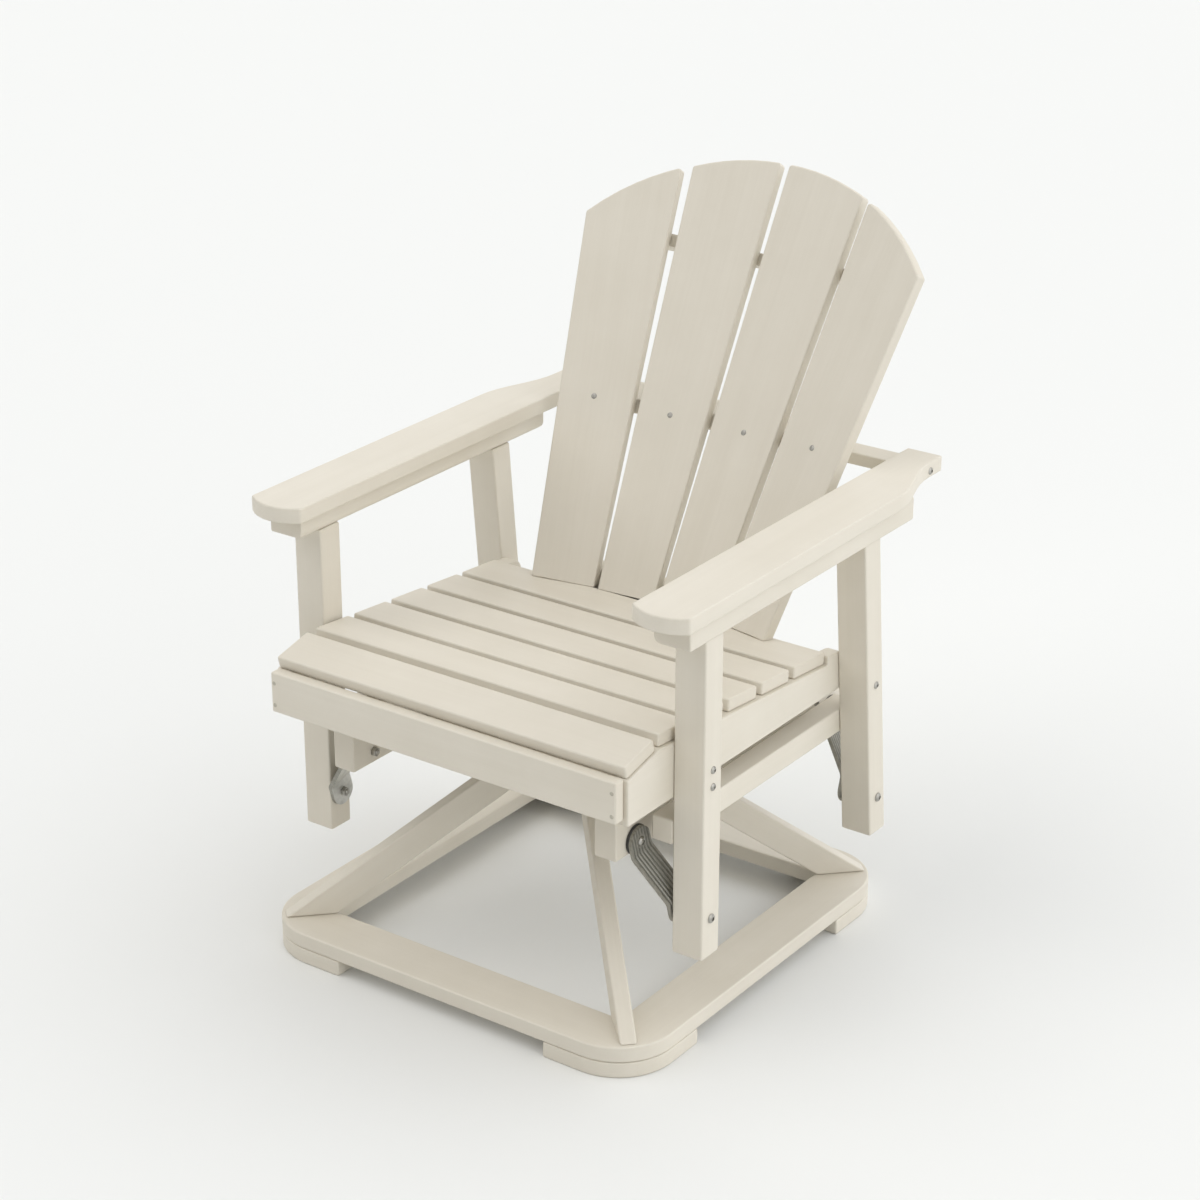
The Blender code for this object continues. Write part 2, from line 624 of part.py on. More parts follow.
def side_rail_outline():
    """Edge under the seat: the slats' slopes, then a low ear behind the last slat."""
    front = APRON_REAR_Y + GAP
    ear = LAST_SLAT_REAR_Y + GAP
    fall = math.tan(SEAT_SLOPE)
    rise = math.tan(NOSING_SLOPE)
    knee = (seat_underside(0) - nosing_underside(0)) / (rise + fall)
    return rounded([(front, SIDE_RAIL_BOTTOM, 0), (SIDE_RAIL_REAR_Y, SIDE_RAIL_BOTTOM, 0),
                    (SIDE_RAIL_REAR_Y, seat_top(SIDE_RAIL_REAR_Y) - SIDE_RAIL_EAR_DROP,
                     SIDE_RAIL_REAR_ROUND),
                    (ear, seat_top(ear) - SIDE_RAIL_EAR_DROP, 0),
                    (ear, seat_underside(ear) - GAP, 0),
                    (knee, seat_underside(knee) - GAP, 0),
                    (front, nosing_underside(front) - GAP, 0)])


def make_seat_frame(pivot):
    """Legs with their pivot bolts, side rails, stretchers, apron and rear rail."""
    front_leg = [(FRONT_LEG_Y, SEAT_LEG_BOTTOM), (FRONT_LEG_Y + SEAT_LEG_DEPTH, SEAT_LEG_BOTTOM),
                 (FRONT_LEG_Y + SEAT_LEG_DEPTH, SEAT_LEG_TOP), (FRONT_LEG_Y, SEAT_LEG_TOP)]
    rear_leg = [(rear_leg_y(SEAT_LEG_BOTTOM), SEAT_LEG_BOTTOM),
                (rear_leg_y(SEAT_LEG_BOTTOM) + SEAT_LEG_DEPTH, SEAT_LEG_BOTTOM),
                (rear_leg_y(SEAT_LEG_TOP) + SEAT_LEG_DEPTH, SEAT_LEG_TOP),
                (rear_leg_y(SEAT_LEG_TOP), SEAT_LEG_TOP)]
    nut_top = SWING_ARM_LOWER_X - GAP - SEAT_LEG_OUTSIDE
    nut = (NUT_RADIUS, nut_top, nut_top - NUT_HEIGHT)
    bolt = turned_mesh(bolt_profile([nut], nut[2] - BOLT_RADIUS / 2), BOLT_STEPS)
    hole = hole_mesh(BOLT_RADIUS, SEAT_LEG_WIDTH)
    legs = {"front": (front_leg, LOWER_PIVOT_FRONT_Y), "rear": (rear_leg, LOWER_PIVOT_REAR_Y)}
    for name, side in SIDES.items():
        for end, (outline, y) in legs.items():
            leg = add_upright(f"{end}_leg_{name}", side, outline, SEAT_LEG_WIDTH,
                              SEAT_LEG_INSIDE, pivot)
            place = outward(side, SEAT_LEG_OUTSIDE, y, LOWER_PIVOT_Z)
            add_piece(f"lower_pivot_bolt_{end}_{name}", bolt, BRIGHT_BOLT, pivot, place)
            cut(leg, add_cutter(f"lower_hole_{end}_{name}", hole, place))
        add_upright("side_rail_" + name, side, side_rail_outline(), SIDE_RAIL_THICKNESS,
                    SIDE_RAIL_INSIDE, pivot)
        low, high = sorted((side * (SIDE_RAIL_OUTSIDE - STRETCHER_THICKNESS),
                            side * SIDE_RAIL_OUTSIDE))
        box_between("stretcher_" + name, (low, FRONT_LEG_Y, STRETCHER_BOTTOM),
                    (high, STRETCHER_REAR_Y, STRETCHER_BOTTOM + STRETCHER_HEIGHT), LUMBER, pivot)
    box_between("front_apron", (-APRON_HALF_LENGTH, APRON_FRONT_Y, APRON_BOTTOM),
                (APRON_HALF_LENGTH, APRON_REAR_Y, APRON_BOTTOM + APRON_HEIGHT), LUMBER, pivot)
    inside = SIDE_RAIL_INSIDE - GAP
    box_between("rear_seat_rail", (-inside, REAR_RAIL_Y, SIDE_RAIL_BOTTOM),
                (inside, REAR_RAIL_Y + REAR_RAIL_THICKNESS, REAR_RAIL_TOP), LUMBER, pivot, 1)


def add_seat_slat(name, half_length, width, front_y, front_z, slope, pivot):
    """A slat whose upper front edge is at a place and that rises by its slope."""
    turn = Matrix.Rotation(slope, 4, "X")
    centre = Matrix.Translation((0, width / 2, -SLAT_THICKNESS / 2))
    place = Matrix.Translation((0, front_y, front_z)) @ turn @ centre
    size = (2 * half_length, width, SLAT_THICKNESS)
    add_piece(name, box_mesh(size), LUMBER, pivot, place, EDGE_ROUND)


def make_seat_slats(pivot):
    nosing_y = NOSING_REAR_Y - NOSING_WIDTH * math.cos(NOSING_SLOPE)
    nosing_z = NOSING_REAR_Z - NOSING_WIDTH * math.sin(NOSING_SLOPE)
    add_seat_slat("seat_slat_0", NOSING_HALF_LENGTH, NOSING_WIDTH, nosing_y, nosing_z,
                  NOSING_SLOPE, pivot)
    for index in range(SEAT_SLAT_COUNT):
        y = SEAT_KNEE_Y + index * SEAT_SLAT_PITCH * math.cos(SEAT_SLOPE)
        width = LAST_SLAT_WIDTH if index == SEAT_SLAT_COUNT - 1 else SEAT_SLAT_WIDTH
        add_seat_slat(f"seat_slat_{index + 1}", SEAT_SLAT_HALF_LENGTH, width, y, seat_top(y),
                      -SEAT_SLOPE, pivot)


# The back's frame: X across, Y backwards through the slats, Z up the slope
BACK_FRAME = (Matrix.Translation((0, BACK_BASE_Y, BACK_BASE_Z))
              @ Matrix.Rotation(-BACK_RECLINE, 4, "X"))


def facet_forward(tangent_x, x):
    """How far a flat slat's face, tangent to the curved back at tangent_x, stands forward at x."""
    lean = tangent_x / BACK_PLAN_RADIUS
    return tangent_x * lean / 2 + lean * (x - tangent_x)


def facet_place(side, tangent_x):
    """A back slat's frame on its own flat face."""
    yaw = Matrix.Rotation(-side * math.atan(tangent_x / BACK_PLAN_RADIUS), 4, "Z")
    start = Matrix.Translation((side * tangent_x, -facet_forward(tangent_x, tangent_x), 0))
    return BACK_FRAME @ start @ yaw


def arch_height(x):
    """Height of the back's arched top, measured up the slope."""
    drop = BACK_ARCH_RADIUS - BACK_ARCH_RISE
    return BACK_SHOULDER + math.sqrt(BACK_ARCH_RADIUS ** 2 - x * x) - drop


def foot_height(tangent_x, x):
    """Where a slat's face meets the seat, measured up the slope."""
    forward = facet_forward(tangent_x, x)
    sine, cosine, fall = math.sin(BACK_RECLINE), math.cos(BACK_RECLINE), math.tan(SEAT_SLOPE)
    above = seat_top(BACK_BASE_Y) + GAP - BACK_BASE_Z - forward * (sine - fall * cosine)
    return above / (cosine + fall * sine)


def fanned(foot_x, head_x, height):
    """X of a fanned slat edge at a height up the slope."""
    return foot_x + (head_x - foot_x) * height / BACK_SHOULDER


def split_x(height):
    """X of the line between an inner and an outer slat."""
    return fanned(BACK_FOOT_SPLIT_share * BACK_FOOT_HALF_WIDTH,
                  BACK_HEAD_SPLIT_share * BACK_HEAD_HALF_WIDTH, height)


def back_slat_edges():
    """Foot and head X of the edges of an inner and an outer slat, right of the middle."""
    foot_gap, head_gap = BACK_FOOT_GAP / 2, BACK_HEAD_GAP / 2
    foot_split, head_split = split_x(0), split_x(BACK_SHOULDER)
    inner = ((foot_gap, head_gap), (foot_split - foot_gap, head_split - head_gap))
    outer = ((foot_split + foot_gap, head_split + head_gap),
             (BACK_FOOT_HALF_WIDTH, BACK_HEAD_HALF_WIDTH))
    return inner, outer


def meet_arch(foot_x, head_x):
    """Where a fanned edge meets the arched top."""
    height = BACK_SHOULDER
    for _ in range(MEETING_ROUNDS):
        height = arch_height(fanned(foot_x, head_x, height))
    return fanned(foot_x, head_x, height), height


def back_slat_outline(side, tangent_x, edges):
    """A fanned slat in its facet's X and Z, with an arched head and a foot to be trimmed."""
    squeeze = math.cos(math.atan(tangent_x / BACK_PLAN_RADIUS))
    left, right = edges
    foot_round = BACK_FOOT_ROUND if right[0] == BACK_FOOT_HALF_WIDTH else 0
    low_left = foot_height(tangent_x, left[0]) - OVERRUN
    low_right = foot_height(tangent_x, right[0]) - (0 if foot_round else OVERRUN)
    right_x, right_z = meet_arch(*right)
    left_x, left_z = meet_arch(*left)
    corners = [(left[0], low_left, 0), (right[0], low_right, foot_round),
               (right_x, right_z, BACK_HEAD_ROUND)]
    for step in range(1, ARCH_STEPS):
        x = right_x + (left_x - right_x) * step / ARCH_STEPS
        corners.append((x, arch_height(x), 0))
    corners.append((left_x, left_z, BACK_HEAD_ROUND))
    outline = rounded([((x - tangent_x) / squeeze, z, radius) for x, z, radius in corners])
    return [(side * x, z) for x, z in outline]


def batten_cutter(name, height):
    """The slats' rear faces around a height, as a block that fills all in front of them."""
    reach = UPPER_BATTEN_HALF_LENGTH + BACK_HEAD_HALF_WIDTH
    split = split_x(height)
    inner, outer = BACK_TANGENT_X, 3 * BACK_TANGENT_X
    wall = BACK_SLAT_THICKNESS + GAP
    points = []
    for tangent_x, x in ((outer, reach), (outer, split), (inner, split), (inner, 0)):
        lean = math.atan(tangent_x / BACK_PLAN_RADIUS)
        points.append((x, wall / math.cos(lean) - facet_forward(tangent_x, x)))
    mirrored = [(-x, y) for x, y in reversed(points[:-1])]
    front = -2 * reach
    outline = [(-reach, front), (reach, front), *points, *mirrored]
    mesh = outline_mesh([outline], LOWER_BATTEN_REAR_Y)
    return add_cutter(name, mesh, BACK_FRAME @ Matrix.Translation((0, 0, height)))


def make_back(pivot):
    """Four fanned slats on three battens, with a curved plan and an arched top."""
    wide = 2 * BACK_HEAD_HALF_WIDTH
    seat_place = (Matrix.Translation((0, BACK_BASE_Y, seat_top(BACK_BASE_Y) + GAP))
                  @ Matrix.Rotation(-SEAT_SLOPE, 4, "X")
                  @ Matrix.Translation((0, 0, -BATTEN_THICKNESS)))
    trim = add_cutter("foot_trim", box_mesh((wide, wide, 2 * BATTEN_THICKNESS)), seat_place)
    number = {(-1, 1): 1, (-1, 0): 2, (1, 0): 3, (1, 1): 4}
    for side in SIDES.values():
        for rank, edges in enumerate(back_slat_edges()):
            tangent_x = (1 + 2 * rank) * BACK_TANGENT_X
            mesh = outline_mesh([back_slat_outline(side, tangent_x, edges)], BACK_SLAT_THICKNESS)
            behind = Matrix.Translation((0, BACK_SLAT_THICKNESS / 2, 0))
            place = facet_place(side, tangent_x) @ behind @ FACE_ON
            slat = add_piece(f"back_slat_{number[side, rank]}", mesh, LUMBER, pivot, place,
                             EDGE_ROUND)
            cut(slat, trim)

    lower_top = LOWER_BATTEN_BOTTOM + BATTEN_THICKNESS
    lower_height = (LOWER_BATTEN_BOTTOM - BACK_BASE_Z) / math.cos(BACK_RECLINE)
    front = BACK_BASE_Y + BACK_SLAT_THICKNESS
    lower = box_between("lower_back_batten", (-LOWER_BATTEN_HALF_LENGTH, front, LOWER_BATTEN_BOTTOM),
                        (LOWER_BATTEN_HALF_LENGTH, LOWER_BATTEN_REAR_Y, lower_top), LUMBER, pivot)
    bottom = box_between("bottom_back_batten",
                         (-BOTTOM_BATTEN_HALF_LENGTH, LAST_SLAT_REAR_Y + GAP, REAR_RAIL_TOP + GAP),
                         (BOTTOM_BATTEN_HALF_LENGTH, BOTTOM_BATTEN_REAR_Y,
                          REAR_RAIL_TOP + GAP + BOTTOM_BATTEN_THICKNESS), LUMBER, pivot, 1)
    upper_depth = UPPER_BATTEN_DEPTH + BACK_SLAT_THICKNESS
    upper_place = BACK_FRAME @ Matrix.Translation((0, upper_depth / 2, UPPER_BATTEN_RISE))
    upper_size = (2 * UPPER_BATTEN_HALF_LENGTH, upper_depth, BATTEN_THICKNESS)
    upper = add_piece("upper_back_batten", box_mesh(upper_size), LUMBER, pivot, upper_place,
                      EDGE_ROUND)
    cut(lower, batten_cutter("lower_batten_cut", lower_height))
    cut(bottom, batten_cutter("bottom_batten_cut", 0))
    cut(upper, batten_cutter("upper_batten_cut", UPPER_BATTEN_RISE))


def arm_outline(side):
    """An arm from above: bowed front, straight sides and a rear that narrows to a tail."""
    chord = ARM_OUTSIDE - ARM_INSIDE
    radius = (chord ** 2 / 4 + ARM_FRONT_BULGE ** 2) / (2 * ARM_FRONT_BULGE)
    middle = ((ARM_INSIDE + ARM_OUTSIDE) / 2, ARM_SIDE_FRONT_Y - ARM_FRONT_BULGE + radius)
    spread = math.asin(chord / 2 / radius)
    front = arc(middle, radius, -math.pi / 2 - spread, -math.pi / 2 + spread, CORNER_STEPS + 2)
    taper = []
    for step in range(TAPER_STEPS + 1):
        share = step / TAPER_STEPS
        inward = (ARM_OUTSIDE - ARM_TAIL_OUTSIDE) * (1 - math.cos(math.pi * share)) / 2
        y = ARM_TAPER_START_Y + (ARM_TAPER_END_Y - ARM_TAPER_START_Y) * share
        taper.append((ARM_OUTSIDE - inward, y))
    outline = [*front, *taper, (ARM_TAIL_OUTSIDE, ARM_REAR_Y), (ARM_INSIDE, ARM_REAR_Y)]
    return [(side * x, y) for x, y in outline]


def make_arms(pivot):
    """Flat arms on thick boards, and the cross rail between their tails."""
    underarm = rounded([(UNDERARM_INSIDE, UNDERARM_BOTTOM, UNDERARM_ROUND),
                        (UNDERARM_INSIDE + UNDERARM_WIDTH, UNDERARM_BOTTOM, 0),
                        (UNDERARM_INSIDE + UNDERARM_WIDTH, UNDERARM_TOP, 0),
                        (UNDERARM_INSIDE, UNDERARM_TOP, 0)])
    length = UNDERARM_REAR_Y - UNDERARM_FRONT_Y
    middle = (UNDERARM_FRONT_Y + UNDERARM_REAR_Y) / 2
    for name, side in SIDES.items():
        mesh = outline_mesh([[(side * x, z) for x, z in underarm]], length)
        add_piece("underarm_" + name, mesh, LUMBER, pivot,
                  Matrix.Translation((0, middle, 0)) @ FACE_ON, EDGE_ROUND)
        place = Matrix.Translation((0, 0, ARM_BOTTOM + ARM_THICKNESS / 2))
        add_piece("arm_" + name, outline_mesh([arm_outline(side)], ARM_THICKNESS), LUMBER, pivot,
                  place, EDGE_ROUND)
    inside = ARM_INSIDE - GAP
    rear = CROSS_RAIL_FRONT_Y + CROSS_RAIL_DEPTH
    box_between("arm_cross_rail", (-inside, CROSS_RAIL_FRONT_Y, ARM_BOTTOM),
                (inside, rear, CROSS_RAIL_TOP), LUMBER, pivot)


def make_seat(pivot):
    make_seat_frame(pivot)
    make_seat_slats(pivot)
    make_back(pivot)
    make_arms(pivot)


clear_scene()
PARTS = new_collection("swivel_patio_chair")
CUTTERS = new_collection("cutters")
CHAIR = new_empty("swivel_axis", (0, SWIVEL_AXIS_Y, 0))
make_base()
make_ball_ring(new_empty("ball_ring_axis", (0, 0, BALL_BOTTOM), CHAIR))
make_carriage(new_empty("carriage_axis", (0, 0, HUB_TOP), CHAIR))
for side_name, side_sign in SIDES.items():
    for end_name, end_sign, end_y in (("front", -1, UPPER_PIVOT_FRONT_Y),
                                      ("rear", 1, UPPER_PIVOT_REAR_Y)):
        arm_axis = new_empty(f"{end_name}_{side_name}_arm_axis",
                             (side_sign * SWING_ARM_UPPER_X, end_y, UPPER_PIVOT_Z), CHAIR)
        make_swing_arm(f"{end_name}_{side_name}", side_sign, end_sign, arm_axis)
make_seat(new_empty("seat_axis", (SWING_ARM_LOWER_X, LOWER_PIVOT_FRONT_Y, LOWER_PIVOT_Z), CHAIR))
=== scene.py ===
"""Looks for the swivel glider patio chair: rounded boards, fluted swing arms, bolts and screws.

Metres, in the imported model's frame: the chair faces -Y and stands on z = 0.
"""
import json
import math

import bmesh
import bpy
from mathutils import Matrix, Vector
from mathutils.bvhtree import BVHTree

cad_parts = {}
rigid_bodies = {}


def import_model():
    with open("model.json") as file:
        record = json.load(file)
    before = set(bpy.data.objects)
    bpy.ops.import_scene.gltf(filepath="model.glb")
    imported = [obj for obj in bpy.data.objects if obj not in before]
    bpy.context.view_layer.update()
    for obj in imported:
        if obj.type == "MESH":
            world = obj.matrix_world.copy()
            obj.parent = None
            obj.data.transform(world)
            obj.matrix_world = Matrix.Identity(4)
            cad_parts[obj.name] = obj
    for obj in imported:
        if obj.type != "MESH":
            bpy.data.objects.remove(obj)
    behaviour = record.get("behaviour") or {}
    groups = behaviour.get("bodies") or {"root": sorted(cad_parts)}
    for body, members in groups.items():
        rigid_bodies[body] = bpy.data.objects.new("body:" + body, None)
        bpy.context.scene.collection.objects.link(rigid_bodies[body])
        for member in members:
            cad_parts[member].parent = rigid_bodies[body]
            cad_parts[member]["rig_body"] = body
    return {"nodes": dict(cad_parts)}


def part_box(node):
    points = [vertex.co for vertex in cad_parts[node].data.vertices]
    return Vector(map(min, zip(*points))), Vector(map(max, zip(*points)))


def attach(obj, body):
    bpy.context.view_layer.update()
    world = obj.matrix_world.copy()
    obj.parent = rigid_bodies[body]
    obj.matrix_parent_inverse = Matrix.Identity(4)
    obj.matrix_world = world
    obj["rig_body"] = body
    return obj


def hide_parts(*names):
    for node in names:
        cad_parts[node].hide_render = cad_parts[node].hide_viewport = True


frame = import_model()
nodes = frame["nodes"]

# Photographed camera
CAMERA_PLACE = (2.3318, -3.3016, 2.249)
CAMERA_AZIMUTH = math.radians(35.6463)
CAMERA_ELEVATION = math.radians(23.3796)
CAMERA_LENS_MM = 87.516
CAMERA_SENSOR_MM = 36.0

# Sides of the chair, with the sign of X on each
SIDES = (("right", 1), ("left", -1))

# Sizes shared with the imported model
SWIVEL_AXIS_Y = -0.1064
GAP = 0.0003
RING_HALF = 0.350
RING_WIDTH = 0.083
RING_CORNER = 0.092
RING_LOW = 0.0253
RING_THICKNESS = 0.025
BOARD_EDGE = 0.003
BACK_RECLINE = math.radians(29.25)
BACK_FAN = {"back_slat_1": -0.140, "back_slat_2": -0.042, "back_slat_3": 0.042, "back_slat_4": 0.140}
LEG_SLOPE = math.radians(35.0)
REAR_LEG_RAKE = math.radians(5.5)
SEAT_SLOPE = math.radians(4.86)
NOSING_SLOPE = math.radians(13.3)
ARM_LENGTH = 0.1104
ARM_TILT = math.radians(16.3)
ARM_HALF_WIDTH = 0.022
ARM_THICKNESS = 0.006
ARM_UPPER_X = 0.2616
ARM_LOWER_X = 0.3087
ARM_BEND_START = 0.017
UPPER_PIVOT_Z = 0.315
UPPER_PIVOT_Y = {"front": -0.218, "rear": 0.302}
REAR_HOLE_SLACK = 0.004
BOLT_RADIUS = 0.004
RAIL_INSIDE_X = 0.219
LEG_OUTSIDE_X = 0.366
SPACER_RADIUS = 0.023
SPACER_INSIDE_X = 0.2573
SPACER_THICKNESS = 0.004

# Fineness of the meshes
RING_CORNER_STEPS = 16
BOARD_EDGE_STEPS = 4
ARM_STATIONS = 56
ARM_END_STEPS = 12
ARM_ACROSS = 110
DOME_STEPS = 8
TURN_STEPS = 32
HEAD_SEGMENTS = 20
HEAD_RINGS = 14
BALL_SEGMENTS = 24
BALL_RINGS = 12
CAGE_STEPS = 96
MERGE = 0.00001

# Edges: flatter ones than the first angle are dissolved, and sharper ones than the others stay crisp
FLAT_ANGLE = math.radians(0.5)
BOARD_SHARP_ANGLE = math.radians(58.0)
METAL_SHARP_ANGLE = math.radians(35.0)
# Edges: how much of a rounded edge's shading comes from the large faces beside it
FLAT_FACE_WEIGHT = 90

# Grain: how squarely a sawn end faces along it, and how far its pattern moves from board to board
END_GRAIN_COSINE = 0.7
BOARD_PATTERN_STEP = (1.7, 0.9, 1.3)

# Swing arms: share of the slant that bends softly at each end
ARM_BEND_SOFT_SHARE = 0.10
# Swing arms: share of the thickness by which the outer face bends higher than the inner one
ARM_OUTER_BEND_SHARE = 0.36
# Swing arms: how squarely an inner face looks at the middle of the chair, to be painted paler as
# painted light
ARM_INNER_COSINE = 0.5

# Flutes of the swing arms, with a plain pad round each pivot into which they fade
FLUTE_COUNT = 7
FLUTE_DEPTH = 0.0010
FLUTE_BAND = 0.041
PIVOT_PAD_RADIUS = 0.0085
PIVOT_PAD_FADE = 0.003

# Pivot bolts, nuts and spacers
BOLT_HEAD_RADIUS = 0.0072
BOLT_HEAD_HEIGHT = 0.0046
BOLT_SOCKET_RADIUS = 0.0028
SOCKET_DEPTH_SHARE = 0.55
THREAD_END = 0.002
THREAD_CHAMFER = 0.0008
NUT_RADIUS = 0.0075
NUT_HEIGHT = 0.0065
NUT_CHAMFER = 0.0008
NUT_FACE_SHARE = 0.94
HEXAGON = 6
SPACER_EDGE = 0.0006
DRILL_LENGTH = 0.04

# Swivel bearing
BEARING_SIZES = {"Ring Radius": 0.045, "Ball Radius": 0.0032, "Cage Width": 0.009,
                 "Cage Thickness": 0.002}
BALL_COUNT = 12

# Screws: the sizes that each head has, and those of each kind of screw
SCREW_SIZES = ("Head Radius", "Head Height", "Socket Radius")
LARGE_HEAD = (0.0058, 0.0034, 0.0024)
SLAT_HEAD = (0.0046, 0.0012, 0.0020)
APRON_HEAD = (0.0032, 0.0008, 0.0014)
BATTEN_HEAD = (0.0040, 0.0012, 0.0018)
PLATE_HEAD = (0.0042, 0.0014, 0.0018)

# Bolts on the chair's sides: y from the swivel axis, and z
SIDE_BOLTS = (("front_leg_", -0.187, 0.442), ("front_leg_", -0.187, 0.416),
              ("rear_leg_", 0.253, 0.404), ("arm_", 0.416, 0.692))
# Screws in the back: numbers of the left and the right slat, x on the right-hand side, and z
SLAT_SCREWS = ((1, 4, 0.201, 0.725), (2, 3, 0.068, 0.716))
# Screws in the apron: x on the right-hand side, and heights
APRON_SCREW_X = 0.302
APRON_SCREW_HEIGHTS = (0.449, 0.414)
# Screws in the back battens: x on the right-hand side
BATTEN_SCREWS = {"upper_back_batten": (0.045, 0.095, 0.150, 0.200),
                 "lower_back_batten": (0.030, 0.075, 0.120, 0.165)}
# Bolts in the carriage rails: y from the middle of each board between the rails
RAIL_BOLTS = {"mounting_board": (-0.07, 0.07), "carriage_cross_board": (0,)}
# Screws in the swivel plates: how far in from both edges
PLATE_SCREW_INSET = 0.014

# Colours of the finishes
LUMBER_DARK = (0.688, 0.640, 0.545, 1)
LUMBER_LIGHT = (0.740, 0.694, 0.602, 1)
LUMBER_SAWN_END = (0.66, 0.605, 0.505, 1)
LUMBER_SPECK = (0.60, 0.545, 0.45, 1)
ARM_METAL_DARK = (0.275, 0.267, 0.233, 1)
ARM_METAL_LIGHT = (0.375, 0.365, 0.325, 1)
# Painted shade: the dark that the flutes' depth paints into the swing arms
ARM_FLUTE_PAINTED_SHADE = (0.10, 0.098, 0.086, 1)
NYLON_DARK = (0.016, 0.016, 0.016, 1)
NYLON_LIGHT = (0.034, 0.033, 0.031, 1)

# Plain metals: dark and light colour, roughness, clouds in a metre, and how metallic each one is
METALS = {"bright_bolt_metal": ((0.34, 0.33, 0.30, 1), (0.50, 0.49, 0.46, 1), 0.34, 160, 1.0),
          "dull_screw_metal": ((0.24, 0.23, 0.21, 1), (0.38, 0.37, 0.34, 1), 0.46, 240, 0.6),
          "board_coloured_screw": ((0.44, 0.41, 0.34, 1), (0.54, 0.51, 0.43, 1), 0.48, 240, 0.2),
          # The swivel plates' zinc, also put on the swing arms' inner faces as painted light
          "zinc_plate_and_painted_light": ((0.50, 0.50, 0.475, 1), (0.72, 0.72, 0.69, 1), 0.42, 60, 0.6),
          "bearing_ball_metal": ((0.62, 0.62, 0.62, 1), (0.76, 0.76, 0.76, 1), 0.16, 300, 1.0)}

# Lamps: strength, angle in degrees, and the direction in which their light travels
LAMPS = {"overhead_light": (0.90, 95, (-0.20, -0.05, -0.95)),
         "left_hand_light": (1.15, 60, (0.50, 0.45, -0.75)),
         "right_hand_light": (0.45, 60, (-0.95, 0.12, -0.18))}
LAMP_COLOUR = (1.0, 0.985, 0.96)

# Room: light of its walls, and colours of the room, the backdrop and the floor
RIGHT_WALL_LIGHT = 1.05
LEFT_WALL_LIGHT = 0.35
REAR_WALL_LIGHT = 1.35
ROOM_COLOUR = (0.95, 0.97, 1.0, 1)
BACKDROP_COLOUR = (0.935, 0.94, 0.93, 1)
FLOOR_COLOUR = (0.82, 0.825, 0.81, 1)
FLOOR_REACH = 30


# Camera, light and floor

def make_camera():
    """The camera as it stood for the photograph."""
    camera = bpy.data.objects.new("photo_camera", bpy.data.cameras.new("photo_camera"))
    bpy.context.scene.collection.objects.link(camera)
    camera.location = CAMERA_PLACE
    camera.rotation_euler = (math.pi / 2 - CAMERA_ELEVATION, 0, CAMERA_AZIMUTH)
    camera.data.sensor_width = CAMERA_SENSOR_MM
    camera.data.lens = CAMERA_LENS_MM
    bpy.context.scene.camera = camera


def make_lamp(name, strength, softness, direction):
    """A lamp whose light travels along a direction."""
    lamp = bpy.data.objects.new(name, bpy.data.lights.new(name, "SUN"))
    bpy.context.scene.collection.objects.link(lamp)
    lamp.data.energy = strength
    lamp.data.angle = math.radians(softness)
    lamp.data.color = LAMP_COLOUR
    lamp.rotation_euler = Vector(direction).to_track_quat("-Z", "Y").to_euler()


def make_studio():
    """Pale floor, broad light from above and from both sides, and a room with bright walls."""
    for name, lamp in LAMPS.items():
        make_lamp(name, *lamp)
    world = bpy.data.worlds.new("studio")
    bpy.context.scene.world = world
    world.use_nodes = True
    sheet = Nodes(world.node_tree)
    direction = sheet.add("ShaderNodeSeparateXYZ", None,
                          {0: sheet.add("ShaderNodeTexCoord").outputs["Generated"]})
    across, along = (sheet.value(direction.outputs[axis]) for axis in range(2))
    walls = (across.max(0.0) * RIGHT_WALL_LIGHT + (across * -1).max(0.0) * LEFT_WALL_LIGHT
             + along.max(0.0) * REAR_WALL_LIGHT)
    room = sheet.add("ShaderNodeBackground", None, {"Color": ROOM_COLOUR, "Strength": walls})
    backdrop = sheet.add("ShaderNodeBackground", None, {"Color": BACKDROP_COLOUR, "Strength": 1.0})
    both = sheet.add("ShaderNodeMixShader", None,
                     {0: looked_at(sheet), 1: room.outputs[0], 2: backdrop.outputs[0]})
    out = sheet.add("ShaderNodeOutputWorld", None, {"Surface": both.outputs[0]})
    out.is_active_output = True

    form = bmesh.new()
    bmesh.ops.create_grid(form, x_segments=1, y_segments=1, size=FLOOR_REACH)
    floor = new_object("studio_floor", form)
    floor.data.materials.append(plain_floor())


def looked_at(sheet):
    """1 for what the camera sees, straight or in gloss and glass, and 0 for light that bounces."""
    rays = sheet.add("ShaderNodeLightPath")
    return sheet.value(rays.outputs["Is Camera Ray"]).max(rays.outputs["Is Glossy Ray"]).max(
        rays.outputs["Is Transmission Ray"])


def plain_floor():
    """Pale matt paint."""
    finish, _, shader = new_finish("studio_floor_paint")
    shader.inputs["Base Color"].default_value = FLOOR_COLOUR
    shader.inputs["Roughness"].default_value = 0.9
    shader.inputs["Specular IOR Level"].default_value = 0.1
    return finish


# Node trees

class Number:
    """A number in a node tree, on which sums are written as in Python."""

    def __init__(self, sheet, socket):
        self.sheet = sheet
        self.socket = socket

    def sum(self, operation, other):
        """The number that one Math node makes of this and another."""
        node = self.sheet.add("ShaderNodeMath", {"operation": operation}, {0: self, 1: other})
        return Number(self.sheet, node.outputs[0])

    def __add__(self, other):
        return self.sum("ADD", other)

    def __sub__(self, other):
        return self.sum("SUBTRACT", other)

    def __mul__(self, other):
        return self.sum("MULTIPLY", other)

    def __rsub__(self, other):
        return (self * -1) + other

    __radd__ = __add__
    __rmul__ = __mul__

    def max(self, other):
        return self.sum("MAXIMUM", other)

    def over(self, low, high):
        """0 below low, 1 above high and a straight rise between them."""
        node = self.sheet.add("ShaderNodeMapRange", {"clamp": True},
                              {"Value": self.socket, "From Min": low, "From Max": high})
        return Number(self.sheet, node.outputs[0])


